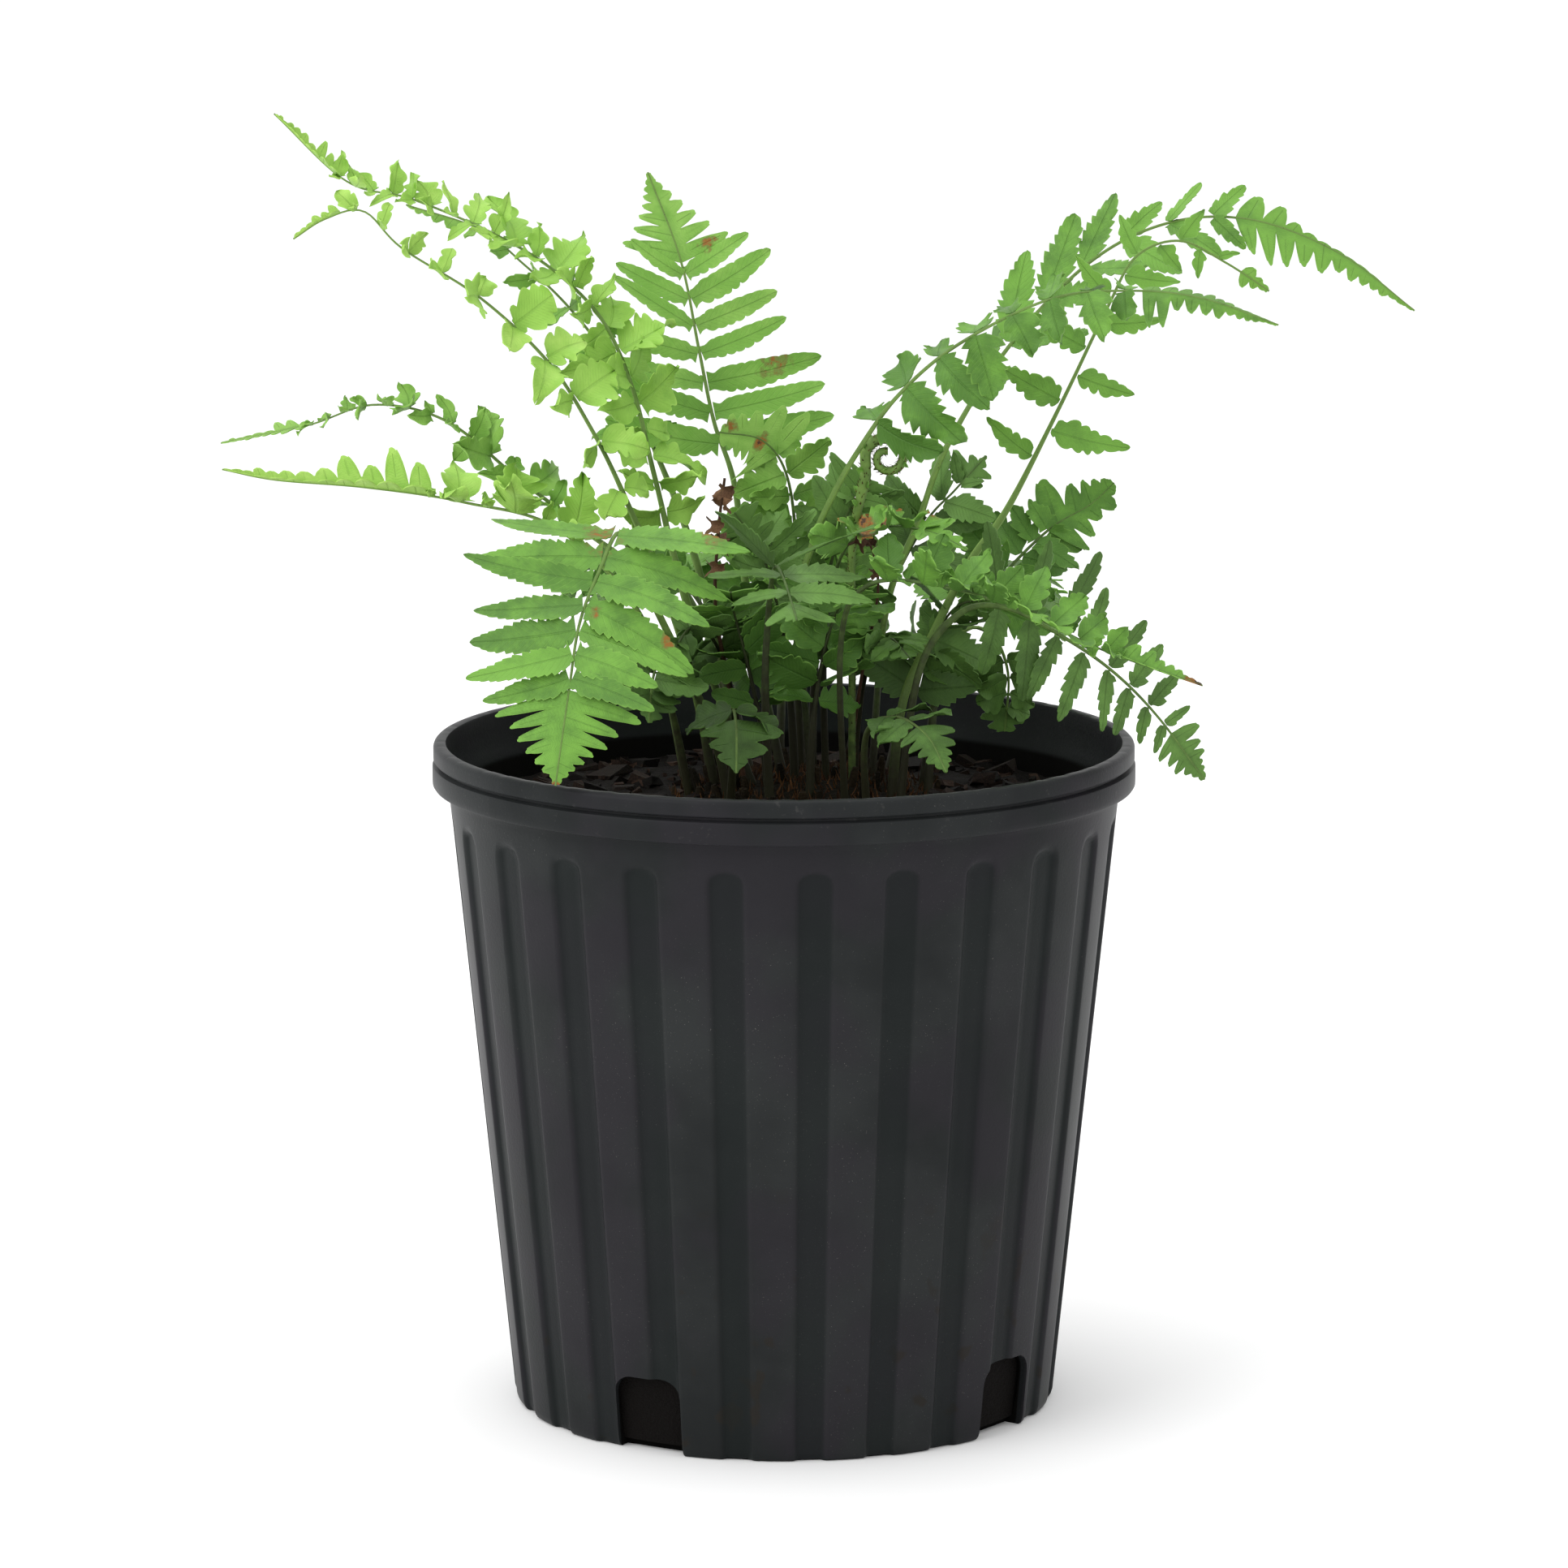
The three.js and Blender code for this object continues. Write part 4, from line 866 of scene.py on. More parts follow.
class Frond:
    """A frond that keeps its solid's stalk and leaflets and draws them finely."""

    LIFT_TRIES = (0, 14, -14, 28, -28, 42, -42)
    LENGTH_TRIES = (1, 0.8, 0.62, 0.45)
    BLADE_END, CROWDING = 0.985, 1.35
    LIFT_SPREAD, SWEEP_SPREAD, LENGTH_SPREAD = 9, 5, 0.1

    LEAF_THICKNESS, THINNEST = 0.34 * MM, 0.14 * MM
    LEAF_STEP, FEWEST_ROWS, MOST_ROWS = 0.55 * MM, 9, 90
    LONG_LEAF = 9 * MM
    WIDE_COLUMNS, FEW_COLUMNS = (-1, -0.86, -0.45, 0, 0.45, 0.86, 1), (-1, -0.5, 0, 0.5, 1)
    CUT_REACH, FOLD_CURVE, DROOP = 0.55, 1.3, 0.04
    DRY_FROM, DRY_TO = 0.75, 1.05
    TINT_SPREAD, YOUNG = 0.2, 0.4
    LOOSE_LIFT, LOOSE_KEY = 40.0, 100
    SIZE_SPREAD, WIDTH_SPREAD, TWIST, TURN, CURL = 0.45, 0.3, 1.3, 0.5, 0.45

    TIP_STEP, TIP_END = 0.4 * MM, 0.998
    TIP_COLUMNS = (-1, -0.8, -0.55, -0.3, 0, 0.3, 0.55, 0.8, 1)
    TIP_TAPER, TIP_SWEEP, TIP_LEAST, TIP_BEND = 0.35, 0.65, 0.35 * MM, 0.12
    LOBE_SPREAD, LOBE_HOLLOW, LOBE_CLEFT = 0.55, 0.68, 0.18
    LOBE_TEETH, TOOTH_DEPTH = 3, 0.07

    STALK_STEP = 2.0 * MM
    FULL_GREEN = 225 * MM

    def __init__(self, plan: FrondPlan, seed: int) -> None:
        """Takes the plan and the frond's number, which seeds its leaflets."""
        self.plan = plan
        self.seed = seed
        self.curve = StalkCurve(plan.points)
        self.tips = SolidTips(plan.node)
        self.shell = Shell()

    def jitter(self, index: int, salt: int) -> float:
        """Gives the frond's own number between -1 and 1."""
        return jitter(self.seed, index, salt)

    def station(self, share: float) -> Station:
        """Gives a place on the stalk."""
        return self.curve.station(share, self.plan.side, self.plan.bare)

    def reach_share(self, share: float) -> float:
        """Gives a leaflet's length at a share of the blade, over the longest one's."""
        return min(1, 0.8 + 0.8 * share) * (1 - self.plan.taper * share ** 1.15)

    def at(self, share: float) -> float:
        """Gives the place on the stalk for a share of the blade."""
        left = min(1.0, max(0.0, 1 - share))
        return self.plan.bare + (self.BLADE_END - self.plan.bare) * (1 - left ** self.CROWDING)

    def trim(self, share: float, hand: int) -> float:
        """Gives a side's size at a share of the blade."""
        return blend(*self.plan.trims[hand < 0], share)

    def places(self) -> list[Place]:
        """Works out where the leaflets stand."""
        plan, length = self.plan, self.curve.length
        count = plan.pairs * 2 if plan.staggered else plan.pairs
        found = []
        for pair in range(count):
            share = (pair + 0.5) / count
            room = (self.at(share + 0.5 / plan.pairs) - self.at(share - 0.5 / plan.pairs)) * length
            spacing = (self.at((pair + 1) / count) - self.at(pair / count)) * length
            wide = min(spacing * 0.42, (0.8 + 0.1 * plan.reach * self.reach_share(share)) * MM)
            foot = blend(min(wide, 0.9 * MM), wide, smoothstep(share, 0.25, 0.8))
            hands = (1 if pair % 2 else -1,) if plan.staggered else (1, -1)
            found.append(Place(pair, hands, share, self.at(share), room, foot / length))
        return found

    def leaflet(self, place: Place, hand: int, lift_change: float, length_change: float) -> Leaflet:
        """Shapes one leaflet, as the solids do.

        Args:
            place: where its pair stands.
            hand: 1 for the right-hand one and -1 for the left-hand one.
            lift_change: degrees that it is bent by to stay clear of its neighbours.
            length_change: the share of its length that is left.

        Returns:
            The leaflet.
        """
        plan, foot = self.plan, self.station(place.at)
        key = self.key(place, hand)
        raised = blend(*plan.lift, place.share) + self.LIFT_SPREAD * self.jitter(key, 1) + lift_change
        lift = math.radians(min(LIFT_LIMIT, max(-LIFT_LIMIT, raised)))
        sweep = math.radians(blend(*plan.sweep, place.share) - hand * plan.skew
                             + self.SWEEP_SPREAD * self.jitter(key, 2))
        wanted = plan.reach * MM * self.reach_share(place.share) * length_change
        wanted *= 1 + self.LENGTH_SPREAD * self.jitter(key, 3)
        side = foot.side * hand * math.cos(lift) + foot.face * math.sin(lift)
        out = side * math.cos(sweep) + foot.along * math.sin(sweep)
        turn = self.curve.tangent(place.at + place.foot) - self.curve.tangent(place.at - place.foot)
        bend = max(0.0, float(turn.dot(side)) / (2 * place.foot * self.curve.length))
        length = min(wanted, BEND_LIMIT / max(bend, 1e-6))
        front = foot.along * math.cos(sweep) - side * math.sin(sweep)
        up = np.cross(out, front) * hand
        width = min(place.room * 0.94 * math.cos(sweep), wanted * plan.plump * 1.15)
        curl = 0.1 + 0.06 * self.jitter(key, 4)
        base = foot.point + foot.side * hand * foot.half
        return Leaflet(base, out, front, up, length, width, curl, sweep, place.share, hand)

    def key(self, place: Place, hand: int) -> int:
        """Numbers a leaflet."""
        return place.pair * 2 + (1 if hand > 0 else 0)

    def standing(self, place: Place, hand: int) -> Optional[Leaflet]:
        """Finds the leaflet with the bend that the solid has, or nothing where the solid has none."""
        tries = (self.leaflet(place, hand, lift, length)
                 for length in self.LENGTH_TRIES for lift in self.LIFT_TRIES)
        return next((found for found in tries if self.tips.has(found)), None)

    def between(self, place: Place, hand: int) -> Leaflet:
        """Shapes a smaller leaflet that stands between two of the solid's."""
        share = min(1.0, place.share + 0.5 / self.plan.pairs)
        lift = self.LOOSE_LIFT * self.jitter(place.pair, 20 + hand)
        return self.leaflet(replace(place, share=share, at=self.at(share)), hand, lift, self.plan.extra)

    def loosened(self, leaflet: Leaflet, key: int) -> Leaflet:
        """Trims a leaflet to its side's size, and turns and twists it a little, as wild as the plan says."""
        wild = self.plan.wild
        size = max(0.2, self.trim(leaflet.share, leaflet.hand))
        size *= 1 + wild * self.SIZE_SPREAD * self.jitter(key, 11)
        twist = wild * self.TWIST * self.jitter(key, 12)
        turn = wild * self.TURN * self.jitter(key, 13) + math.radians(self.plan.ahead[leaflet.hand < 0])
        out = unit(leaflet.out * math.cos(turn) + leaflet.front * math.sin(turn))
        front = unit(leaflet.front * math.cos(turn) - leaflet.out * math.sin(turn))
        wide = (0.5 + 0.5 * size) * (1 + wild * self.WIDTH_SPREAD * self.jitter(key, 16))
        return replace(leaflet, out=out, front=front * math.cos(twist) + leaflet.up * math.sin(twist),
                       up=leaflet.up * math.cos(twist) - front * math.sin(twist),
                       length=leaflet.length * size, width=leaflet.width * wide,
                       curl=leaflet.curl + wild * self.CURL * self.jitter(key, 14))

    def brown(self, grid: np.ndarray) -> np.ndarray:
        """Gives how brown each point of a grid is, from the plan's marks."""
        found = np.zeros(grid.shape[:2])
        for mark in self.plan.marks:
            gap = np.hypot(grid[..., 0] - mark.x * MM, grid[..., 2] - mark.z * MM) / (mark.radius * MM)
            found = np.maximum(found, mark.strength * np.clip(1.5 - gap, 0, 1))
        return found

    def add_leaflet(self, leaflet: Leaflet, key: int) -> None:
        """Draws one leaflet as a thin closed sheet with its cut edge, fold and ripples."""
        cut, plan = self.plan.cut, self.plan
        leaf = LeafGrid(int(min(self.MOST_ROWS, max(self.FEWEST_ROWS, leaflet.length / self.LEAF_STEP))),
                        self.WIDE_COLUMNS if leaflet.length > self.LONG_LEAF else self.FEW_COLUMNS)
        phase, swell = self.jitter(key, 5), self.jitter(key, 6)
        tint = plan.tint + self.TINT_SPREAD * self.jitter(key, 7) + self.YOUNG * (leaflet.share - 0.5)
        dry = plan.dry * max(0.0, self.jitter(key, 8))
        joined = smoothstep(leaflet.share, plan.joined - 0.2, plan.joined + 0.2)
        fronts, backs = cut.halves(joined, plan.wild * self.jitter(key, 15))
        hook = cut.hooks[leaflet.hand < 0] + 0.05 * self.jitter(key, 9)
        half_width = leaflet.width * cut.full * (1 + 0.1 * self.jitter(key, 10)) / 2
        for row, step in leaf.steps():
            rib = leaflet.rib(step, hook)
            room = leaflet.room(step) + (joined + 0.3 * cut.foot) * leaflet.width
            halves = {ahead: cut.smooth(widths, step) * half_width
                      for ahead, widths in ((True, fronts), (False, backs))}
            leaning = leaflet.sweep > 0
            halves[leaning] = min(halves[leaning], room)
            for column, part in enumerate(leaf.across):
                half = max(halves[part > 0], self.THINNEST)
                hand = 1 if part > 0 else -1
                edge = half * cut.bite(leaflet.length, step, phase + 0.37 * hand, part > 0)
                reach = min(abs(part) * half, edge * (1 - self.CUT_REACH * (1 - abs(part))))
                fold = cut.fold * (reach / half) ** self.FOLD_CURVE * half * (1 - 0.5 * step)
                wave = cut.ripple * leaflet.width * abs(part)
                wave *= math.sin(7 * (step + phase) + 2.2 * part * swell)
                droop = self.DROOP * leaflet.length * step ** 3 * swell
                ahead = cut.lean * reach * smoothstep(step, 0.0, 0.3) * (1 - 0.6 * step)
                leaf.points[row, column] = (rib + leaflet.front * hand * reach + leaflet.out * ahead
                                            + leaflet.up * (fold + wave * step ** 0.5 - droop))
                withered = dry * smoothstep(step + 0.1 * abs(part), self.DRY_FROM, self.DRY_TO)
                leaf.paint[row, column] = (step, 0.5 + part / 2, tint, withered)
        leaf.paint[..., 3] = np.maximum(leaf.paint[..., 3], self.brown(leaf.points))
        self.shell.sheet(leaf, leaflet.up, self.LEAF_THICKNESS)

    def add_tip(self) -> None:
        """Draws the blade's tip, where the leaflets shrink to the lobes of one merged leaf."""
        plan = self.plan
        first = self.at(math.ceil(plan.joined * plan.pairs - 0.5) / plan.pairs)
        leaf = LeafGrid(int((self.TIP_END - first) * self.curve.length / self.TIP_STEP), self.TIP_COLUMNS)
        ups = np.zeros(leaf.points.shape)
        turn = 0.0
        for row, gone in leaf.steps():
            where = blend(first, self.TIP_END, gone)
            left = max(0.0, 1 - (where - plan.bare) / (self.BLADE_END - plan.bare))
            share = 1 - left ** (1 / self.CROWDING)
            place = self.station(where)
            turn += self.TIP_STEP / (plan.lobe * MM * (1 - 0.6 * gone))
            depth = blend(plan.cleft, self.LOBE_CLEFT, gone ** 1.5)
            full = plan.reach * MM * self.reach_share(share) * (1 - gone) ** self.TIP_TAPER + self.TIP_LEAST
            lift = math.radians(blend(*plan.lift, share))
            for column, part in enumerate(leaf.across):
                hand = 1 if part > 0 else -1
                round_it = turn + 0.2 * hand * math.sin(0.7 * turn)
                lobe = round_it % 1.0
                uneven = 1 + plan.wild * self.LOBE_SPREAD * self.jitter(math.floor(round_it), 30 + hand)
                wide = full * uneven
                wide *= blend(self.trim(share, hand), plan.tips[hand < 0], smoothstep(gone, 0.0, 0.5))
                kept = 1 - depth * (1 - abs(math.sin(math.pi * lobe)) ** self.LOBE_HOLLOW)
                kept *= 1 - self.TOOTH_DEPTH * (1 - (lobe * self.LOBE_TEETH) % 1.0)
                reach = wide * min(abs(part), kept * (0.3 + 0.7 * abs(part)))
                sweep = math.radians((blend(*plan.sweep, share) - hand * plan.skew) * self.TIP_SWEEP)
                out = (place.side * hand * math.cos(lift) + place.face * math.sin(lift)) * math.cos(sweep)
                leaf.points[row, column] = (place.point + (out + place.along * math.sin(sweep)) * reach
                                            - place.face * self.TIP_BEND * reach ** 2 / wide)
                off = 1.0 if abs(part) == 1 else 0.84 * abs(2 * lobe - 1)
                tint = plan.tint + self.YOUNG * (share - 0.5)
                leaf.paint[row, column] = (abs(part), 0.5 + off / 2, tint, 0)
                ups[row, column] = place.face
        leaf.paint[..., 3] = self.brown(leaf.points)
        self.shell.sheet(leaf, ups, self.LEAF_THICKNESS)

    def add_stalk(self) -> None:
        """Draws the stalk as a round tube, stout at its foot and slim through the blade."""
        count = int(self.curve.length / self.STALK_STEP)
        shares = [step / count for step in range(count + 1)]
        stations = [self.station(share) for share in shares]
        bare, bark = self.plan.bare, self.plan.bark
        halves = [one.half * (1 + 0.3 * (1 - smoothstep(share, 0.0, 0.16))
                              - 0.28 * smoothstep(share, bare * 0.8, bare * 1.2))
                  for one, share in zip(stations, shares)]
        # The bark sets how high the brown foot reaches and, as the tint, how much painted shade the stalk's
        # green holds.
        green = self.FULL_GREEN * (1.3 - bark)
        paint = [(share * self.curve.length / green, bark) for share in shares]
        self.shell.tube(stations, halves, STALK_FLATNESS, 1, paint)

    def build(self, leaf: Material, stalk: Material) -> bpy.types.Object:
        """Builds the frond, with its leaflets and its stalk each in their own material."""
        self.add_stalk()
        self.add_tip()
        drawn = wanted = 0
        for place in self.places():
            for hand in place.hands if place.share < self.plan.joined else ():
                found = self.standing(place, hand)
                wanted += 1
                key = self.key(place, hand)
                if found:
                    self.add_leaflet(self.loosened(found, key), key)
                    drawn += 1
                if self.plan.extra:
                    key += self.LOOSE_KEY
                    self.add_leaflet(self.loosened(self.between(place, hand), key), key)
        LOG.info("%s has %d leaflets of %d", self.plan.node, drawn, wanted)
        return self.shell.object(f"frond_{self.plan.node}", [leaf, stalk], 60.0)


@dataclass
class Crozier:
    """The rolled young frond: a stout stalk and a coil, with scales and small folded leaflets.

    Lengths are in millimetres.
    """

    stem: tuple[Point, ...] = ((22, -6, 191), (22, -8, 245), (22, -9, 283), (26, -9, 304))
    centre: Point = (33, -9, 311)
    radius: float = 7.6
    turns: float = 1.35
    steps: int = 11
    step_length: float = 1.1
    width: float = 3.1
    scales: int = 340
    leaflets: int = 26
    low_leaflets: int = 8
    first: float = 0.46
    last: float = 0.96

    SCALE_SEED, LEAF_SEED = 31, 32
    LEAF_ROWS, LEAF_COLUMNS = 7, (-1, -0.5, 0, 0.5, 1)
    LEAF_THICKNESS = 0.3 * MM

    def curve(self) -> StalkCurve:
        """Gives the stalk's line with its coil, as the solid has it."""
        x, y, z = self.centre
        coil = []
        for step in range(self.steps):
            share = step / (self.steps - 1)
            turn = math.pi * 1.15 - share * self.turns * 2 * math.pi
            radius = self.radius * (1 - 0.72 * share)
            coil.append((x + radius * math.cos(turn), y, z + radius * math.sin(turn)))
        return StalkCurve((*self.stem, *coil))

    def build(self, leaf: Material, stalk: Material, scale: Material) -> bpy.types.Object:
        """Builds the crozier, with its leaflets, stalk and scales each in their own material."""
        curve = self.curve()
        shell = Shell()
        count = int(curve.length / (self.step_length * MM))
        shares = [step / count for step in range(count + 1)]
        stations = [curve.station(share, ((0, 1, 0), (0, 1, 0)), 0) for share in shares]
        halves = [blend(STALK_WIDTH, self.width * MM, min(1, share / 0.62)) / 2
                  * (1 + 0.4 * smoothstep(share, 0.6, 0.72) - 0.42 * smoothstep(share, 0.78, 1))
                  for share in shares]
        shell.tube(stations, halves, 0.85, 1, [(0.2 + 0.7 * share, 0.45) for share in shares], 10)
        self.add_scales(shell, stations, halves)
        self.add_leaflets(shell, stations, halves)
        return shell.object("crozier_scaly", [leaf, stalk, scale])

    def add_scales(self, shell: Shell, stations: list[Station], halves: list[float]) -> None:
        """Adds the thin brown scales that clothe the stalk, closest together on the coil."""
        seed = self.SCALE_SEED
        for number in range(self.scales):
            share = chance(seed, number, 1) ** 0.45
            index = min(len(stations) - 2, int(share * (len(stations) - 1)))
            place = stations[index]
            turn = math.pi * jitter(seed, number, 2)
            away = place.side * math.cos(turn) + place.face * math.sin(turn)
            foot = place.point + away * halves[index] * 0.86
            tip = foot + unit(away * 0.65 + place.along * 0.75) * (1.1 + 0.9 * chance(seed, number, 3)) * MM
            wide, deep = np.cross(away, place.along) * 0.22 * MM, place.along * 0.24 * MM
            shell.scale(foot, wide, deep, tip, 2, chance(seed, number, 4))

    def add_leaflets(self, shell: Shell, stations: list[Station], halves: list[float]) -> None:
        """Adds the small leaflets that are still folded against the stalk and the coil."""
        for number in range(self.leaflets):
            gone = (number + 0.5) / self.leaflets
            index = int(blend(self.first, self.last, gone) * (len(stations) - 1))
            place, half = stations[index], halves[index]
            hand = 1 if number % 2 else -1
            if number < self.low_leaflets:
                out = unit(place.face * hand + place.along * 0.3 + place.side * 0.2)
            else:
                inward = 0.35 if number % 3 else -0.35
                out = unit(place.side * hand * 0.75 - place.face * inward + place.along * 0.45)
            front = unit(place.along - out * place.along.dot(out))
            up = np.cross(out, front) * hand
            length = (4.6 - 2.6 * gone) * MM * (1 + 0.2 * jitter(self.LEAF_SEED, number, 1))
            tint = 0.35 + 0.2 * jitter(self.LEAF_SEED, number, 2)
            leaf = LeafGrid(self.LEAF_ROWS, self.LEAF_COLUMNS)
            for row, step in leaf.steps():
                wide = length * 0.33 * max(0.06, math.sin(math.pi * min(1, 0.1 + 0.9 * step)) ** 0.7)
                rib = place.point + out * (half * 0.8 + length * step) - up * 0.3 * length * step ** 2
                for column, part in enumerate(leaf.across):
                    lobe = 1 - 0.22 * abs(math.sin(row * 1.9)) * (abs(part) == 1)
                    leaf.points[row, column] = rib + front * part * wide * lobe + up * 0.25 * wide * abs(part)
                    leaf.paint[row, column] = (step, 0.5 + part / 2, tint, 0)
            shell.sheet(leaf, up, self.LEAF_THICKNESS)


@dataclass
class WitheredFrond:
    """A dead brown stalk with a few curled leaflets, left among the living ones.

    Lengths are in millimetres.
    """

    points: tuple[Point, ...]
    seed: int
    leaflets: int = 5
    length: float = 9.0
    half: float = 0.75
    first: float = 0.72

    LAST = 0.98
    STALK_STEP = 2.0
    LEAF_ROWS, LEAF_COLUMNS = 12, (-1, -0.5, 0, 0.5, 1)
    LEAF_THICKNESS = 0.3 * MM

    def add_to(self, shell: Shell) -> None:
        """Adds the stalk and its leaflets to a shell."""
        curve = StalkCurve(self.points)
        count = int(curve.length / (self.STALK_STEP * MM))
        shares = [step / count for step in range(count + 1)]
        stations = [curve.station(share, ((1, 0, 0), (1, 0.2, 0)), 0) for share in shares]
        halves = [self.half * MM * (1.2 - 0.6 * share) for share in shares]
        shell.tube(stations, halves, 1.0, 0, [(share, 0.2) for share in shares], 7)
        for number in range(self.leaflets):
            share = blend(self.first, self.LAST, number / max(1, self.leaflets - 1))
            self.add_leaflet(shell, stations[int(share * count)], number)

    def add_leaflet(self, shell: Shell, place: Station, number: int) -> None:
        """Adds one shrunken leaflet, rolled in along its length."""
        leaf = LeafGrid(self.LEAF_ROWS, self.LEAF_COLUMNS)
        hand = 1 if number % 2 else -1
        length = self.length * MM * (1 + 0.3 * jitter(self.seed, number, 1))
        heading = 0.6 * jitter(self.seed, number, 2)
        tint = 0.5 + 0.4 * jitter(self.seed, number, 3)
        point = place.point
        for row, step in leaf.steps():
            heading += 0.22 * (1 + step) * hand
            out = unit(place.side * hand * math.cos(heading) - place.face * math.sin(heading)
                       + place.along * 0.2)
            point = point + out * length / leaf.rows
            wide = length * 0.28 * max(0.05, math.sin(math.pi * min(1, 0.08 + 0.92 * step)))
            wide *= 1 + 0.3 * math.sin(row * 2.1 + number)
            up = unit(np.cross(out, place.along))
            for column, part in enumerate(leaf.across):
                leaf.points[row, column] = point + place.along * part * wide + up * wide * part ** 2 * 0.8
                leaf.paint[row, column] = (step, 0.5, tint, 0)
        shell.sheet(leaf, place.face, self.LEAF_THICKNESS)


def bumps(x: float, y: float, size: float, layer: float) -> float:
    """Gives smooth noise between about -1 and 1 at a place in millimetres, for bumps of a size."""
    return noise.noise(Vector((x / size, y / size, layer)))


@dataclass
class NurseryPot:
    """The moulded pot. Sizes in millimetres, as the solid has them."""

    height: float = 218.0
    rim: float = 114.0
    lip: float = 4.5
    bead_drop: float = 5.5
    groove_drop: float = 7.1
    groove_depth: float = 2.0
    band_drop: float = 14.0
    band_step: float = 5.0
    body_top_radius: float = 108.0
    body_top: float = 195.0
    base: float = 88.3
    wall: float = 1.7
    floor: float = 2.2
    flutes: int = 24
    flute_start: float = 1.6
    flute_span: float = 7.3
    flute_side: float = 1.5
    flute_depth: float = 1.5
    flute_arch: float = 6.0
    flute_fade: float = 1.2
    drain_width: float = 24.0
    drain_height: float = 25.0
    drain_corner: float = 7.0
    drain_angles: tuple[float, ...] = (-29.3, 52.9, 150.7, 232.9)
    lip_ribs: int = 72
    lip_rib_depth: float = 0.16

    SHARP = 38.0
    WALL_HEIGHTS = (3, 12, 30, 50, 75, 100, 125, 150, 170, 182, 186, 188, 189.2, 190.4, 191.6, 192.8, 194,
                    195.2, 197, 200.5)
    INSIDE_HEIGHTS = (170, 120, 60, 10)

    def body_radius(self, height: float) -> float:
        """Gives the wall's outer radius between the flutes."""
        return self.base + (self.body_top_radius - self.base) * (height / self.body_top)

    def inner_radius(self, height: float) -> float:
        """Gives the wall's inner radius."""
        return self.body_radius(height) - self.flute_depth - self.wall

    def angles(self) -> list[float]:
        """Gives the columns' angles in degrees, close together at the flutes' edges."""
        pitch, span, side = 360 / self.flutes, self.flute_span, self.flute_side
        steps = (-0.25, 0.15, 0.45, 0.75, 1.1, side, 2.6, span / 2, span - 2.6, span - side, span - 1.1,
                 span - 0.75, span - 0.45, span - 0.15, span + 0.25, span + 1.5, span + 3.85, span + 6.2)
        return [flute * pitch + self.flute_start + step for flute in range(self.flutes) for step in steps]

    def flute(self, angle: float, height: float) -> float:
        """Gives how deep the wall is set back at an angle and height."""
        span, side = self.flute_span, self.flute_side
        within = (angle - self.flute_start + 1) % (360 / self.flutes) - 1
        edge = smoothstep(within, 0.0, side) * (1 - smoothstep(within, span - side, span))
        middle = abs(within - span / 2) / (span / 2)
        top = self.body_top - self.flute_arch - 1 + self.flute_arch * math.sqrt(max(0.0, 1 - middle ** 2))
        above = smoothstep(height, top - self.flute_fade, top + self.flute_fade)
        return self.flute_depth * edge * (1 - above)

    def profile(self) -> list[tuple[float, float, bool]]:
        """Lists the wall's rings from the middle of the underside round to the middle of the floor.

        Returns:
            Each ring's radius, its height, and whether the flutes cut it.
        """
        top, rim, base = self.height, self.rim, self.base
        neck, deep, lip = rim - self.band_step, rim - self.groove_depth, rim - self.lip
        bead, groove, band = top - self.bead_drop, top - self.groove_drop, top - self.band_drop
        outside = [(base - 4, 0.0), (base - 1.6, 0.0), (base - 0.9, 0.35), (self.body_radius(1.4) - 0.3, 1.4)]
        outside += [(self.body_radius(height), float(height)) for height in self.WALL_HEIGHTS]
        rest = [
            (neck - 0.15, band - 0.9), (neck + 0.35, band - 0.3), (rim - 1.3, band - 0.35),
            (rim - 0.5, band - 0.1), (rim - 0.05, band + 0.6), (rim, band + 2), (rim, groove - 0.6),
            (rim - 0.25, groove - 0.1),
            (deep + 0.3, groove + 0.25), (deep, groove + 0.5), (deep, bead - 0.5), (deep + 0.3, bead - 0.25),
            (rim - 0.6, bead - 0.05), (rim - 0.3, bead + 0.3), (rim - 0.3, top - 1.7),
            (rim - 0.55, top - 0.9), (rim - 1.1, top - 0.3), (rim - 1.9, top), (lip + 0.9, top),
            (lip + 0.2, top - 0.35),
            (lip, top - 1.1), (lip - 0.3, top - 6), (self.inner_radius(band) + 1.6, band + 1),
            (self.inner_radius(band - 4), band - 4),
        ]
        rest += [(self.inner_radius(height), float(height)) for height in self.INSIDE_HEIGHTS]
        inner, floor = self.inner_radius(self.floor), self.floor
        rest += [(inner - 0.8, floor + 0.8), (inner - 3, floor), (50.0, floor), (20.0, floor)]
        return [*((radius, 0.0, False) for radius in (20.0, 50.0, 72.0)),
                *((radius, height, True) for radius, height in outside),
                *((radius, height, False) for radius, height in rest)]

    def ring(self, radius: float, height: float, fluted: bool) -> list[Point]:
        """Gives one ring of the wall, with the fine ribs on top of the lip."""
        found = []
        for angle in self.angles():
            turn = math.radians(angle - 90)
            reach = radius - (self.flute(angle, height) if fluted else 0)
            rib = 0.0
            if height > self.height - 0.1:
                rib = self.lip_rib_depth * abs(math.sin(math.radians(angle) * self.lip_ribs / 2)) ** 6
            found.append((reach * math.cos(turn), reach * math.sin(turn), height - rib))
        return found

    def build(self, plastic: Material) -> bpy.types.Object:
        """Builds the pot and cuts its drain notches."""
        shell = Shell()
        shell.rings([self.ring(*one) for one in self.profile()], ((0, 0, 0), (0, 0, self.floor)))
        body = shell.object("pot_uncut", [plastic], self.SHARP)
        cutters = [self.notch_block(angle) for angle in self.drain_angles]
        for cutter in cutters:
            cut = body.modifiers.new("drain", "BOOLEAN")
            cut.operation = "DIFFERENCE"
            cut.solver = "EXACT"
            cut.object = cutter
        graph = bpy.context.evaluated_depsgraph_get()
        mesh = bpy.data.meshes.new_from_object(body.evaluated_get(graph))
        for spare in (body, *cutters):
            bpy.data.objects.remove(spare)
        return smooth_object("nursery_pot", mesh, self.SHARP)

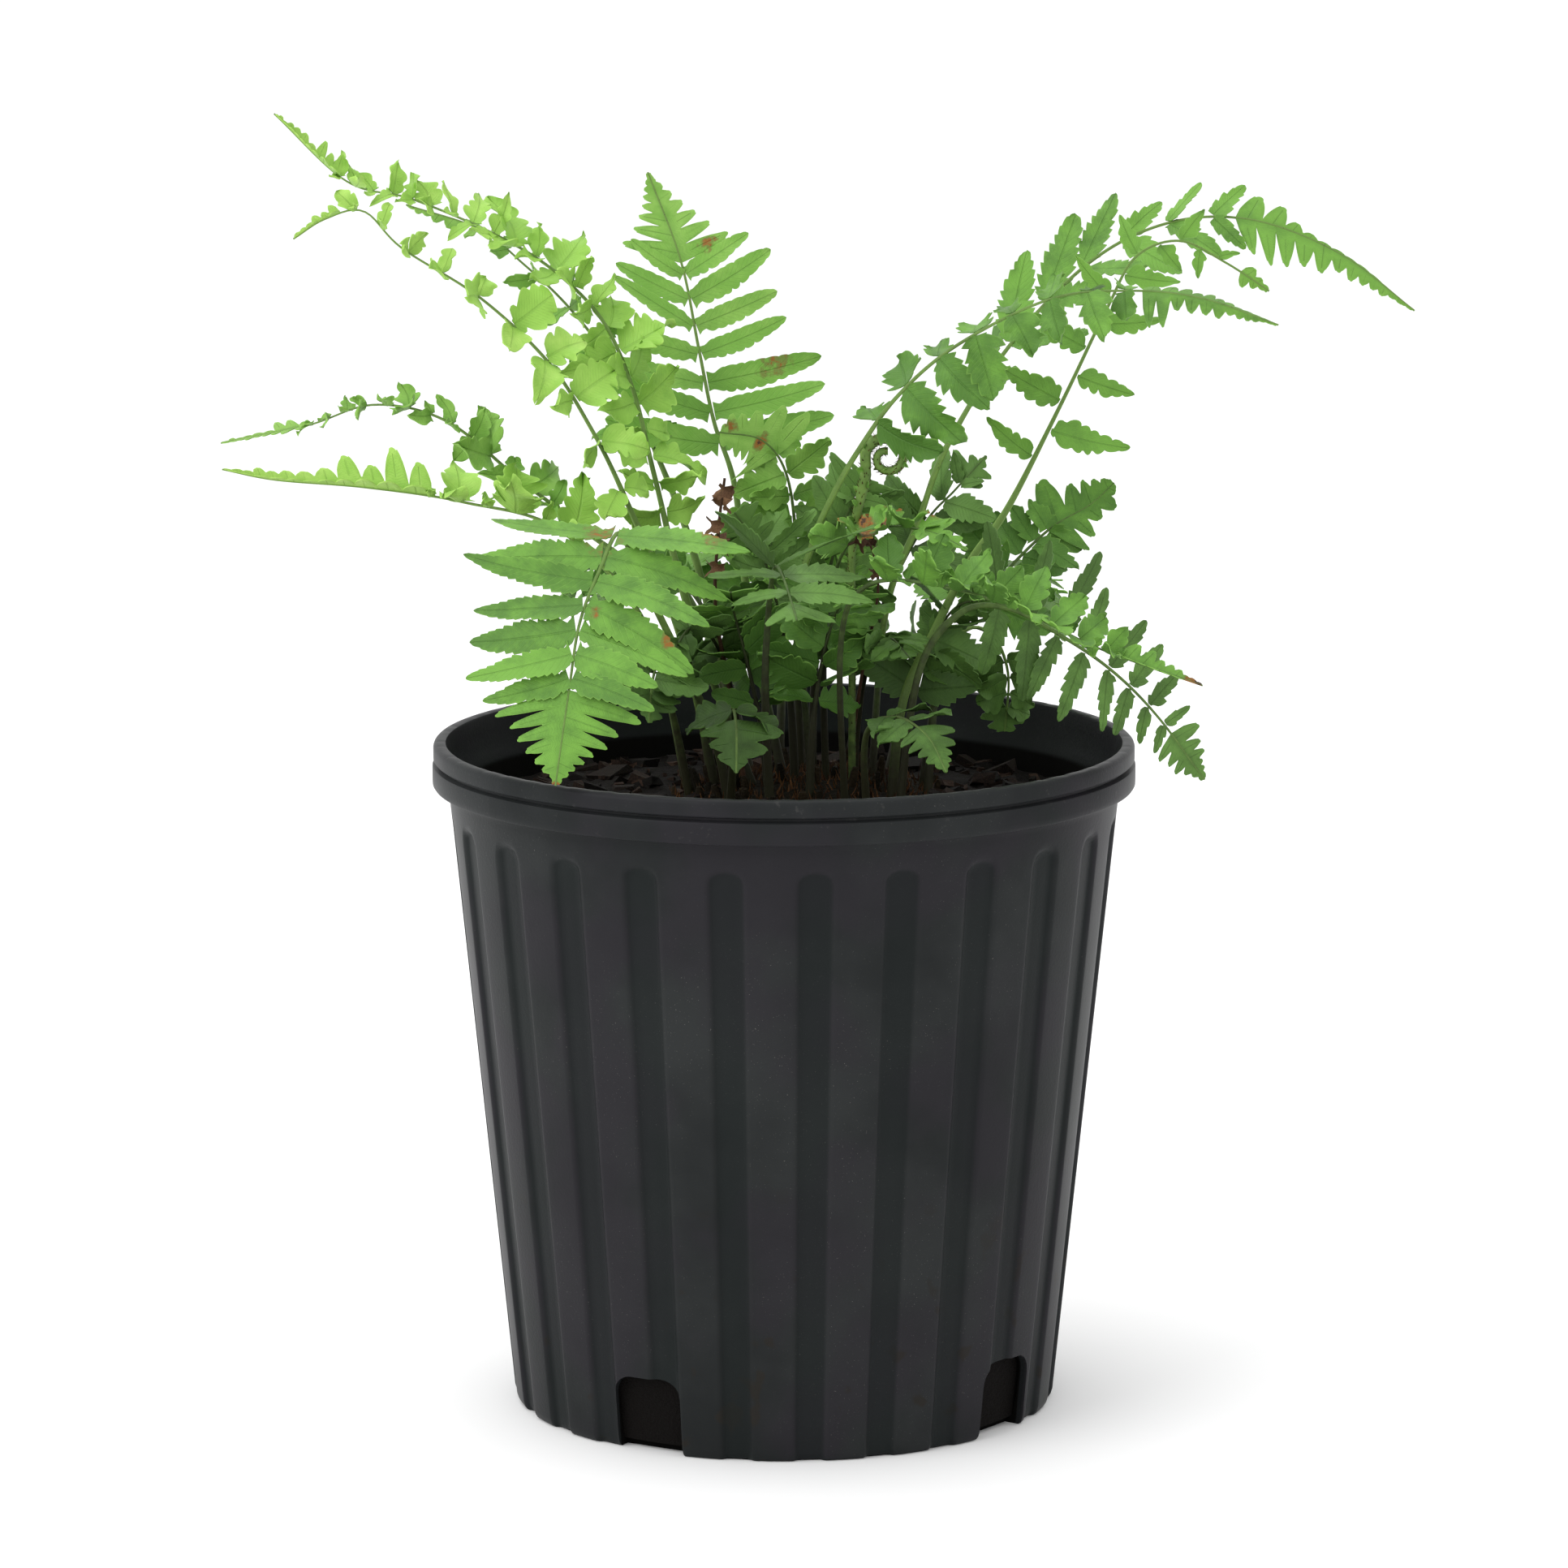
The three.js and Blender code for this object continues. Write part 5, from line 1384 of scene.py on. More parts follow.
    def notch_block(self, angle: float) -> bpy.types.Object:
        """Makes the arched block that cuts one drain notch.

        Args:
            angle: where the notch is, in degrees from the front.

        Returns:
            The block's object.
        """
        half, corner = self.drain_width / 2, self.drain_corner
        inner, high, low = half - corner, self.drain_height - corner, -3.0
        outline = [(-half, low), (half, low), (half, high)]
        outline += [(inner + corner * math.cos(turn), high + corner * math.sin(turn))
                    for turn in np.linspace(0.2, math.pi / 2, 7)]
        outline += [(-inner - corner * math.sin(turn), high + corner * math.cos(turn))
                    for turn in np.linspace(0, math.pi / 2 - 0.2, 7)]
        outline += [(-half, high)]
        count = len(outline)
        points = np.array([(x, y, z) for y in (-self.base - 7.0, -self.base + 7.5) for x, z in outline]) * MM
        turn = math.radians(angle)
        spun = np.column_stack([points[:, 0] * math.cos(turn) - points[:, 1] * math.sin(turn),
                                points[:, 0] * math.sin(turn) + points[:, 1] * math.cos(turn), points[:, 2]])
        faces = [tuple(range(count)), tuple(range(2 * count - 1, count - 1, -1))]
        faces += [(side, count + side, count + (side + 1) % count, (side + 1) % count)
                  for side in range(count)]
        shell = Shell()
        shell.add(spun, faces, 0, np.zeros((2 * count, 4)))
        return shell.object("drain_cutter", [])


CROWN_CENTRE = (9.0, 1.0)
CROWN_RADIUS = 48.0


@dataclass
class PottingMix:
    """The fill with its crumbly top, and the bark bits that lie on it. Sizes in millimetres."""

    top: float = 196.0
    rise: float = 5.0
    floor: float = 2.5
    gap: float = 0.5
    rough: float = 1.5
    columns: int = 140
    rings: int = 56
    bits: int = 620
    pot: NurseryPot = field(default_factory=NurseryPot)

    TINT, DARK_TINT, DARK_BELOW = 0.35, -0.6, 20
    BIT_SEED, CORNER_SEED = 41, 42
    BIT_FACES = ((0, 2, 3, 1), (4, 5, 7, 6), (0, 1, 5, 4), (2, 6, 7, 3), (0, 4, 6, 2), (1, 3, 7, 5))

    def surface(self, x: float, y: float) -> float:
        """Gives the height of the top at a place."""
        far = math.hypot(x, y) / (self.pot.inner_radius(self.top) - self.gap)
        near = math.hypot(x - CROWN_CENTRE[0], y - CROWN_CENTRE[1]) / (CROWN_RADIUS * 1.3)
        lift = self.rise * (1 - smoothstep(min(far, near * 0.75), 0.55, 1.0)) * 0.8
        return self.top - 0.8 + lift + self.rough * (bumps(x, y, 7, 3.0) * 0.7 + bumps(x, y, 2.6, 8.0) * 0.5)

    def ring(self, radius: float, height: Optional[float] = None) -> list[Point]:
        """Gives a ring of the fill at a height, or on its top."""
        places = [(radius * math.cos(turn), radius * math.sin(turn)) for turn in circle(self.columns)]
        return [(x, y, self.surface(x, y) if height is None else height) for x, y in places]

    def build(self, earth: Material) -> bpy.types.Object:
        """Builds the fill, with painted shade on the part that only the drain notches show."""
        wall = self.pot.inner_radius
        outer = wall(self.top) - self.gap
        rows = [self.ring(30.0, self.floor), self.ring(wall(self.floor) - 1.2, self.floor),
                self.ring(wall(100) - self.gap, 100.0), self.ring(outer, self.top - 2)]
        rows += [self.ring(outer * (1 - ring / self.rings)) for ring in range(self.rings)]
        shell = Shell()
        shell.rings(rows, ((0, 0, self.floor), (0, 0, self.surface(0, 0))), (0, 0.5, self.TINT, 0))
        # Painted shade on the fill below the top, deep inside the pot.
        shell.paint[0][shell.points[0][:, 2] < (self.top - self.DARK_BELOW) * MM, 2] = self.DARK_TINT
        return shell.object("mix_fill", [earth])

    def build_bits(self, bark: Material) -> bpy.types.Object:
        """Builds the bits of bark and root that lie on the top."""
        shell = Shell()
        seed, reach = self.BIT_SEED, self.pot.inner_radius(self.top) - 5
        for number in range(self.bits):
            radius, turn = reach * math.sqrt(chance(seed, number, 1)), math.pi * jitter(seed, number, 2)
            x, y = radius * math.cos(turn), radius * math.sin(turn)
            size = 1.3 + 5.2 * chance(seed, number, 3) ** 3
            sizes = (size, size * (0.35 + 0.3 * chance(seed, number, 4)), size * 0.2 + 0.4)
            spin, tip = math.pi * jitter(seed, number, 5), 0.5 * jitter(seed, number, 6)
            corners = []
            for corner in range(8):
                a, b, c = (half * (1 if corner >> axis & 1 else -1)
                           * (1 + 0.35 * jitter(self.CORNER_SEED, number * 8 + corner, axis))
                           for axis, half in enumerate(sizes))
                a, c = a * math.cos(tip) - c * math.sin(tip), a * math.sin(tip) + c * math.cos(tip)
                a, b = a * math.cos(spin) - b * math.sin(spin), a * math.sin(spin) + b * math.cos(spin)
                corners.append((x + a, y + b, self.surface(x, y) + 0.4 * sizes[2] + c))
            shell.add(np.array(corners) * MM, self.BIT_FACES, 0, even_paint(8, chance(seed, number, 7)))
        return shell.object("bark_bits", [bark], 20.0)


@dataclass
class Rootstock:
    """The knobbly crown with the stubs of old stalks and brown scales. Sizes in millimetres."""

    centre: tuple[float, float] = CROWN_CENTRE
    radius: float = CROWN_RADIUS
    bottom: float = 190.0
    edge: float = 199.0
    top: float = 206.0
    columns: int = 96
    rings: int = 40
    stubs: int = 54
    scales: int = 900

    TINT = 0.3
    STUB_SEED, SCALE_SEED = 51, 61
    STUB_ROOT, STUB_LEAN = 2.5, 0.35
    STUB_SHAPE = ((0, 1.25), (0.4, 1.0), (0.8, 0.85), (1.0, 0.5))

    def reach(self, turn: float) -> float:
        """Gives the uneven outline's radius at an angle."""
        return self.radius * (1 + 0.05 * math.sin(3 * turn + 1) + 0.03 * math.sin(7 * turn))

    def place(self, turn: float, share: float) -> tuple[float, float]:
        """Gives the place at an angle and a share of the outline's radius."""
        far = self.reach(turn) * share
        return self.centre[0] + far * math.sin(turn), self.centre[1] - far * math.cos(turn)

    def height(self, x: float, y: float) -> float:
        """Gives the mound's height at a place."""
        east, north = x - self.centre[0], y - self.centre[1]
        share = min(1.0, math.hypot(east, north) / self.reach(math.atan2(east, -north)))
        dome = self.edge + (self.top - self.edge) * math.cos(share * math.pi / 2)
        return dome - 1.2 + (bumps(x, y, 6, 1.0) * 1.6 + bumps(x, y, 2.2, 5.0) * 0.8) * (1 - share ** 4)

    def ring(self, share: float, height: Optional[float] = None) -> list[Point]:
        """Gives a ring of the mound at a share of its radius, at a height or on its top."""
        places = [self.place(turn, share) for turn in circle(self.columns)]
        return [(x, y, self.height(x, y) if height is None else height) for x, y in places]

    def build(self, root: Material) -> bpy.types.Object:
        """Builds the mound with its stubs."""
        rows = [self.ring(0.9, self.bottom), self.ring(1.0, self.edge - 3)]
        rows += [self.ring(1 - ring / self.rings) for ring in range(self.rings)]
        shell = Shell()
        caps = ((*self.centre, self.bottom), (*self.centre, self.height(*self.centre)))
        shell.rings(rows, caps, (0, 0.5, self.TINT, 0))
        for number in range(self.stubs):
            self.add_stub(shell, number)
        return shell.object("rootstock", [root])

    def spot(self, seed: int, number: int) -> tuple[float, float]:
        """Draws a place on the mound."""
        return self.place(math.pi * jitter(seed, number, 1), math.sqrt(chance(seed, number, 2)) * 0.9)

    def add_stub(self, shell: Shell, number: int) -> None:
        """Adds the broken foot of an old stalk."""
        seed = self.STUB_SEED
        x, y = self.spot(seed, number)
        east, north = (x - self.centre[0]) / self.radius, (y - self.centre[1]) / self.radius
        lean = unit(np.array([self.STUB_LEAN * east + 0.2 * jitter(seed, number, 3),
                              self.STUB_LEAN * north + 0.2 * jitter(seed, number, 4), 1.0]))
        size = (1.1 + 0.7 * chance(seed, number, 5)) * MM
        tall = 2.5 + 7 * chance(seed, number, 6) ** 1.5 + self.STUB_ROOT
        foot = np.array([x, y, self.height(x, y) - self.STUB_ROOT])
        side = unit(np.cross(lean, (0.3, 1.0, 0.1)))
        face = np.cross(side, lean)
        tint = 0.5 + 0.4 * jitter(seed, number, 7)
        stations = [Station((foot + lean * tall * step) * MM, lean, side, face, size * wide)
                    for step, wide in self.STUB_SHAPE]
        paint = [(step, tint) for step, _ in self.STUB_SHAPE]
        shell.tube(stations, [one.half for one in stations], 1.0, 0, paint, 7)

    def build_scales(self, scale: Material) -> bpy.types.Object:
        """Builds the brown scales that clothe the mound and the stalks' feet."""
        shell, seed = Shell(), self.SCALE_SEED
        for number in range(self.scales):
            x, y = self.spot(seed, number)
            foot = np.array([x, y, self.height(x, y) - 0.5]) * MM
            away = unit(np.array([0.6 * jitter(seed, number, 3), 0.6 * jitter(seed, number, 4), 1.0]))
            across = unit(np.cross(away, (jitter(seed, number, 5), jitter(seed, number, 6), 0.2)))
            tip = foot + away * (2.2 + 3.2 * chance(seed, number, 7)) * MM
            wide = across * (0.35 + 0.25 * chance(seed, number, 8)) * MM
            shell.scale(foot, wide, np.cross(across, away) * 0.4 * MM, tip, 0, chance(seed, number, 9))
        return shell.object("rootstock_scales", [scale])


@dataclass
class Studio:
    """The camera at the photograph's place, the pale floor and the soft light. Metres and degrees."""

    distance: float = 2.234
    height: float = 0.605
    pitch: float = 10.2
    focal_pixels: float = 8612.0
    sensor: float = 36.0
    floor_side: float = 12.0
    aim: float = 0.22
    sky_strength: float = 1.08

    LAMPS = (("key from the left", (-1.9, -1.3, 1.7), 1.9, 27.0), ("top", (-0.2, 0.3, 2.2), 1.6, 14.0))

    def camera(self) -> None:
        """Sets up the camera."""
        data = bpy.data.cameras.new("photograph camera")
        data.sensor_width = self.sensor
        data.lens = self.sensor * self.focal_pixels / PHOTO_SIDE
        data.clip_start, data.clip_end = 0.05, 50.0
        made = link(bpy.data.objects.new("photograph camera", data))
        made.location = (0.0, -self.distance, self.height)
        made.rotation_euler = (math.radians(90 - self.pitch), 0.0, 0.0)
        bpy.context.scene.camera = made

    def floor(self) -> None:
        """Lays the pale floor."""
        shader = Shader("studio floor")
        colour = shader.mix(shader.times(shader.noise(3.0), 0.04), (0.96, 0.96, 0.96), (0.9, 0.9, 0.9))
        mesh = bpy.data.meshes.new("studio floor")
        half = self.floor_side / 2
        corners = [(-half, -half, 0), (half, -half, 0), (half, half, 0), (-half, half, 0)]
        mesh.from_pydata(corners, [], [(0, 1, 2, 3)])
        mesh.materials.append(shader.dress(colour, 0.9, 0.2))
        link(bpy.data.objects.new("studio floor", mesh))

    def lamp(self, name: str, place: Point, size: float, power: float) -> None:
        """Hangs a soft square light that faces the plant.

        Args:
            name: the light's name.
            place: where it hangs, in metres.
            size: its side in metres.
            power: its power in watts.
        """
        data = bpy.data.lights.new(name, "AREA")
        data.size, data.energy = size, power
        made = link(bpy.data.objects.new(name, data))
        made.location = place
        made.rotation_euler = (Vector((0, 0, self.aim)) - Vector(place)).to_track_quat("-Z", "Y").to_euler()

    def sky(self) -> None:
        """Surrounds the scene with even white light."""
        world = bpy.data.worlds.new("white studio")
        world.use_nodes = True
        background = next(node for node in world.node_tree.nodes if node.type == "BACKGROUND")
        background.inputs["Color"].default_value = (1, 1, 1, 1)
        background.inputs["Strength"].default_value = self.sky_strength
        bpy.context.scene.world = world

    def build(self) -> None:
        """Sets up all of it."""
        self.camera()
        self.floor()
        self.sky()
        for lamp in self.LAMPS:
            self.lamp(*lamp)
        bpy.context.scene.view_settings.view_transform = "Standard"


def inner(node: str, points: tuple[Point, ...], **more: object) -> FrondPlan:
    """Plans one of the short fronds that fill the dense middle.

    Args:
        node: the solid's name.
        points: the stalk's points.
        more: what else the plan holds.

    Returns:
        The plan.
    """
    # A low bark gives these stalks painted shade.
    usual = {"pairs": 5, "bark": 0.1, "joined": 0.75, "extra": 0.8, "wild": 0.8}
    return FrondPlan(node, points, **{**usual, **more})


def behind(node: str, points: tuple[Point, ...], **more: object) -> FrondPlan:
    """Plans one of the three fronds at the back.

    Args:
        node: the solid's name.
        points: the stalk's points.
        more: what else the plan holds.

    Returns:
        The plan.
    """
    return FrondPlan(node, points, bare=0.42, pairs=7, plump=0.5, lift=(5, 0), sweep=(8, 35), extra=0.8,
                     **more)


FROND_PLANS = (
    FrondPlan(
        "front_left", ((-16, -14, 191), (-24, -18, 226), (-46, -30, 276), (-52, -46, 292), (-58, -60, 282),
                       (-64, -72, 267), (-67, -84, 248), (-71, -97, 220)),
        bare=0.55, pairs=12, reach=50, side=((-1, 0.2, 0.1), (-1, 0.1, 0)), plump=0.34, sweep=(0, 38),
        skew=-6, cut=POINTED, tint=0.26, joined=0.62, lobe=6.0, cleft=0.88, wild=0.16,
        marks=(Blemish(-71, 219, 1.8), Blemish(-59, 270, 1.6, 0.62), Blemish(-36, 262, 2.6, 0.56),
               Blemish(-57, 292, 5.8, 0.36), Blemish(-22, 293, 3.9, 0.5)),
    ),
    FrondPlan(
        "front_centre", ((-4, -26, 191), (-6, -30, 236), (-5, -35, 264), (-3, -48, 281), (0, -66, 280),
                         (4, -84, 270)),
        bare=0.68, pairs=4, reach=50, side=((-1, 0, 0),) * 2, plump=0.32, lift=(26, -30), sweep=(12, 30),
        tone=Tone.DARK, tint=0.85, bark=0.05, joined=0.8, tips=(0.7, 0.7), wild=0.25, ahead=(-20, -20),
        trims=((0.55, 0.9), (0.6, 1.5)),
    ),
    FrondPlan(
        "upper_left_high", ((-6, -4, 191), (-30, 4, 257), (-42, 14, 302), (-49, 22, 329), (-59, 28, 351),
                            (-75, 32, 367), (-95, 34, 379), (-121, 34, 390), (-142, 32, 396),
                            (-165, 30, 418)),
        bare=0.32, pairs=14, reach=21, side=((1, 0.35, 0.2), (0.1, 1, 0.3)), lift=(10, 45), sweep=(5, 25),
        cut=SPIKED, tone=Tone.BRIGHT, tint=0.6, bark=0.7, joined=0.8, lobe=4.6, cleft=0.86, extra=0.8,
        tips=(1.0, 0.8), wild=0.9, trims=((0.85, 1.5), (0.8, 1.4)),
    ),
    FrondPlan(
        "upper_left_low", ((-20, 2, 191), (-33, 0, 250), (-51, -4, 297), (-63, -6, 322), (-76, -6, 342),
                           (-97, -6, 362), (-122, -6, 378), (-134, -8, 390), (-146, -12, 388),
                           (-156, -16, 382)),
        bare=0.4, pairs=12, reach=17.5, side=((0.85, 0.5, 0.4), (0, 1, 0.35)), plump=0.8, lift=(30, 50),
        sweep=(-12, 30), cut=SCALLOPED, tone=Tone.BRIGHT, tint=0.75, bark=0.7, joined=0.86, lobe=4.0,
        cleft=0.85, wild=0.8, trims=((0.75, 1.15),) * 2,
        marks=(Blemish(-167, 413, 1.8),),
    ),
    FrondPlan(
        "upper_left_back", ((-10, 16, 191), (-28, 30, 269), (-44, 46, 310), (-54, 50, 329), (-62, 52, 342),
                            (-73, 54, 355), (-85, 56, 366), (-100, 56, 378), (-124, 56, 386)),
        bare=0.5, pairs=9, reach=17, side=((1, 0.4, 0.3), (0.1, 1, 0.3)), lift=(-10, -25), cut=JAGGED,
        tint=0.7, joined=0.8, wild=0.7,
    ),
    FrondPlan(
        "mid_left_high", ((-22, 24, 191), (-36, 34, 253), (-71, 44, 284), (-87, 48, 296), (-111, 52, 315),
                          (-135, 56, 320), (-157, 58, 313), (-186, 58, 307)),
        bare=0.42, pairs=10, reach=16, side=((0.4, 0.8, 0.4), (0, 1, 0.3)), plump=0.62, lift=(35, 15),
        sweep=(5, 35), cut=SPIKED, tint=1.0, joined=0.74, lobe=5.0, cleft=0.85, extra=0.7, wild=1.0,
        trims=((1.0, 0.8),) * 2,
    ),
    FrondPlan(
        "mid_left_low", ((-30, 12, 191), (-44, 12, 251), (-72, 12, 284), (-104, 10, 294), (-135, 8, 299),
                         (-164, 4, 302), (-181, 0, 306)),
        bare=0.42, pairs=8, reach=22, side=((0, 1, 0.2),) * 2, plump=0.72, lift=(62, 40), sweep=(5, 35),
        cut=SPIKED, tone=Tone.BRIGHT, tint=0.85, bark=0.8, joined=0.42, lobe=9.0, cleft=0.9, extra=0.35,
        tips=(1.0, 0.5), wild=0.6, trims=((1.15, 0.8), (0.7, 0.4)),
    ),
    FrondPlan(
        "centre_tall", ((2, 14, 191), (-11, 24, 254), (-16, 36, 295), (-23, 44, 316), (-28, 52, 339),
                        (-34, 62, 367), (-45, 74, 395)),
        bare=0.54, pairs=12, reach=36, side=((1, 0.15, 0.1),) * 2, plump=0.28, sweep=(4, 50), skew=12,
        cut=FINGER, tint=0.82, bark=0.6, joined=0.62, lobe=6.6, cleft=0.94, wild=0.15,
        trims=((1.3, 1.15), (1.25, 1.1)),
        marks=(Blemish(-26, 372, 2.1, 0.75), Blemish(-4, 335, 6.3, 0.36)),
    ),
    FrondPlan(
        "centre_short", ((6, 30, 191), (4, 30, 246), (4, 30, 276), (1, 28, 300), (-7, 26, 312),
                         (-21, 24, 315)),
        bare=0.36, pairs=6, reach=24, side=((1, 0, 0), (0.3, 0.1, 1)), lift=(0, 10), sweep=(10, 10),
        taper=0.6, cut=BROAD, tint=0.9, bark=0.3, joined=0.75, extra=0.7, trims=((1.35, 1.2), (1.2, 1.1)),
        marks=(Blemish(-8, 311, 1.8, 1.1), Blemish(-17, 317, 2.1, 0.5), Blemish(-25, 309, 1.8, 0.5),
               Blemish(10, 316, 2.1)),
    ),
    FrondPlan(
        "upper_right", ((28, 14, 191), (33, 20, 255), (44, 24, 286), (53, 26, 310), (73, 30, 342),
                        (99, 34, 369), (125, 36, 382), (152, 36, 383), (181, 34, 372), (205, 30, 354)),
        bare=0.43, pairs=13, reach=30, side=((0, -0.6, -0.75),) * 2, plump=0.42, lift=(10, 0),
        sweep=(42, 18), cut=TOOTHED, tint=0.4, bark=0.6, joined=0.52, lobe=8.0, cleft=0.92,
        tips=(1.0, 0.12), wild=0.4, ahead=(0, 22), trims=((0.95, 1.15), (1.45, 0.25)),
    ),
    FrondPlan(
        "upper_right_front", ((10, -10, 191), (5, -10, 260), (9, -12, 283), (15, -14, 298), (23, -16, 313),
                              (36, -20, 332), (55, -24, 349), (84, -28, 364), (109, -30, 367),
                              (132, -34, 365), (156, -38, 357)),
        bare=0.465, pairs=13, reach=22, side=((0.3, -0.7, -0.4), (0, -0.8, -0.5)), plump=0.75,
        lift=(-25, -15), sweep=(-15, 25), cut=JAGGED, tint=0.08, cleft=0.88, wild=0.6,
        trims=((1.1, 1.0), (0.9, 0.8)),
    ),
    FrondPlan(
        "right_tall", ((34, -14, 191), (38, -14, 231), (48, -10, 254), (60, -6, 277), (72, -4, 294),
                       (89, 0, 327), (104, 4, 358), (113, 6, 374), (127, 8, 379), (142, 8, 372),
                       (156, 6, 363)),
        bare=0.5, pairs=8, reach=26, side=((0.9, 0, -0.45), (-0.4, -0.3, -0.85)), plump=0.4, sweep=(0, 35),
        staggered=True, cut=LOBED, tint=0.5, bark=0.75, joined=0.84, lobe=5.0, wild=0.35,
        trims=((1.0, 0.95),) * 2,
    ),
    FrondPlan(
        "right_front", ((20, -26, 191), (18, -37, 254), (26, -47, 275), (47, -56, 277), (74, -64, 270),
                        (96, -70, 260), (113, -74, 254), (131, -76, 248)),
        bare=0.45, pairs=12, reach=20, side=((-0.3, -0.95, -0.25),) * 2, plump=0.7, lift=(58, 25),
        sweep=(8, 32), cut=BROAD, tint=0.2, bark=0.15, joined=0.66, extra=0.4, wild=0.4,
        trims=((1.1, 1.0),) * 2,
        marks=(Blemish(68, 286, 1.8, 0.55), Blemish(132, 248, 6.3)),
    ),
    FrondPlan(
        "right_front_low", ((36, -28, 191), (43, -30, 244), (56, -32, 264), (71, -34, 266), (89, -36, 257),
                            (105, -38, 246), (119, -40, 232), (134, -42, 212)),
        bare=0.48, pairs=11, reach=33, side=((0, -0.15, -1),) * 2, plump=0.4, sweep=(-2, 30), skew=-12,
        cut=TOOTHED, tone=Tone.DARK, tint=0.9, bark=0.3, joined=0.76, lobe=4.5, trims=((1.0, 0.6),) * 2,
    ),
    FrondPlan(
        "right_mid", ((44, 12, 191), (52, 16, 239), (69, 22, 265), (86, 28, 282), (100, 32, 290),
                      (108, 34, 297)),
        bare=0.5, pairs=6, reach=22, side=((0.6, -0.4, -0.8),) * 2, plump=0.75, lift=(0, 20),
        sweep=(15, 30), taper=0.7, cut=JAGGED, tint=0.0, bark=0.3, joined=0.5, lobe=8.0, cleft=0.82,
        extra=0.8, wild=0.4, trims=((1.1, 0.9),) * 2,
    ),
    FrondPlan(
        "right_hanging", ((46, -2, 191), (50, 2, 240), (59, 5, 253), (68, 9, 250), (73, 12, 237),
                          (72, 14, 218)),
        bare=0.72, pairs=3, reach=15, side=((-1, 0, 0),) * 2, plump=0.85, sweep=(4, 40), taper=0.6,
        cut=BROAD, tone=Tone.DARK, tint=1.0, joined=0.75, extra=0.8, wild=0.4,
    ),
    FrondPlan(
        "low_front_left", ((-18, -29, 191), (-16, -41, 222), (-16, -52, 236), (-15, -63, 232),
                           (-15, -70, 219)),
        bare=0.6, pairs=3, reach=25, side=((-1, 0, 0),) * 2, plump=0.75, lift=(-10, -10), sweep=(0, 10),
        cut=BROAD, tone=Tone.DARK, tint=0.3, joined=0.3, lobe=8.0, cleft=0.6, wild=0.4,
        trims=((1.1, 0.7), (1.5, 0.5)),
    ),
    FrondPlan(
        "low_front_right", ((27, -36, 191), (26, -44, 226), (35, -52, 234), (45, -64, 230), (51, -74, 220)),
        bare=0.52, pairs=5, reach=19, side=((-0.7, -0.5, -0.2),) * 2, plump=0.75, sweep=(15, 40), cut=BROAD,
        tone=Tone.DARK, tint=0.7, joined=0.5,
    ),
    FrondPlan(
        "low_left", ((-29, -4, 191), (-35, -10, 224), (-40, -20, 244), (-42, -32, 242), (-43, -40, 230)),
        bare=0.55, pairs=3, reach=25, side=((-1, 0.2, 0), (-1, 0, 0)), plump=0.7, lift=(0, -10),
        cut=CRENATE, tone=Tone.DARK, joined=0.75, extra=0.8, wild=0.6,
    ),
    inner(
        "inner_left", ((-12, 6, 191), (-16, 2, 228), (-22, -6, 250), (-30, -18, 257), (-36, -30, 250)),
        bare=0.5, reach=24, side=((-0.9, -0.4, 0),) * 2, lift=(0, -10), cut=CRENATE, tone=Tone.DARK,
    ),
    inner(
        "inner_right", ((22, 8, 191), (24, 4, 224), (28, -6, 246), (34, -20, 254), (40, -34, 250)),
        bare=0.5, reach=23, side=((-0.9, -0.3, 0),) * 2, lift=(0, -10), cut=BROAD, tone=Tone.DARK,
    ),
    FrondPlan(
        "centre_right", ((18, 24, 191), (30, 26, 250), (45, 26, 283), (56, 26, 296), (66, 26, 307)),
        bare=0.62, pairs=3, reach=23, side=((0.5, -0.5, -0.65),) * 2, plump=0.5, sweep=(25, 40),
        tone=Tone.DARK, tint=1.0, bark=0.2, joined=0.75, extra=0.8, wild=0.6, trims=((1.3, 1.2),) * 2,
    ),
    FrondPlan(
        "centre_brown", ((14, 2, 191), (13, -4, 250), (19, -20, 282), (32, -34, 292), (46, -44, 292),
                         (58, -50, 287)),
        bare=0.62, pairs=5, reach=20, side=((-0.5, -0.8, -0.2),) * 2, lift=(20, 10), sweep=(15, 40),
        cut=JAGGED, tint=0.3, bark=0.1, joined=0.7, extra=0.9, wild=0.8, dry=1.0,
        marks=(Blemish(58, 299, 3.7, 0.8), Blemish(26, 292, 2.6, 0.8), Blemish(48, 298, 2.6, 0.6)),
    ),
    FrondPlan(
        "left_inner", ((-8, 27, 191), (-22, 42, 244), (-37, 51, 264), (-58, 55, 266), (-80, 58, 250)),
        bare=0.56, pairs=6, reach=22, side=((0, 0.9, 0.45),) * 2, plump=0.48, sweep=(10, 35), cut=SCALLOPED,
        tint=0.1, bark=0.2, joined=0.75, extra=0.8, wild=0.7,
    ),
    behind(
        "back_left", ((-14, 34, 191), (-24, 50, 240), (-40, 76, 264), (-54, 104, 256), (-66, 132, 234)),
        reach=28, side=((0.85, 0.5, 0),) * 2, tint=0.4,
    ),
    behind(
        "back_centre", ((-2, 36, 191), (0, 52, 242), (2, 80, 268), (4, 110, 262), (6, 140, 240)),
        reach=30, side=((1, 0, 0),) * 2, cut=CRENATE, tint=0.3,
    ),
    behind(
        "back_right", ((32, 27, 191), (44, 44, 238), (64, 70, 262), (82, 98, 254), (96, 126, 230)),
        reach=27, side=((0.8, -0.55, 0),) * 2, tint=0.45,
    ),
    inner(
        "inner_front", ((-4, -14, 191), (-7, -14, 222), (-12, -15, 246), (-16, -18, 262), (-17, -26, 270)),
        bare=0.42, reach=24, side=((1, -0.2, 0.1),) * 2, lift=(-8, 0), sweep=(12, 30), taper=0.6,
        cut=CRENATE, tint=-0.1, wild=0.9,
    ),
    inner(
        "inner_centre", ((8, -22, 191), (9, -22, 222), (12, -23, 246), (17, -26, 264), (23, -34, 272)),
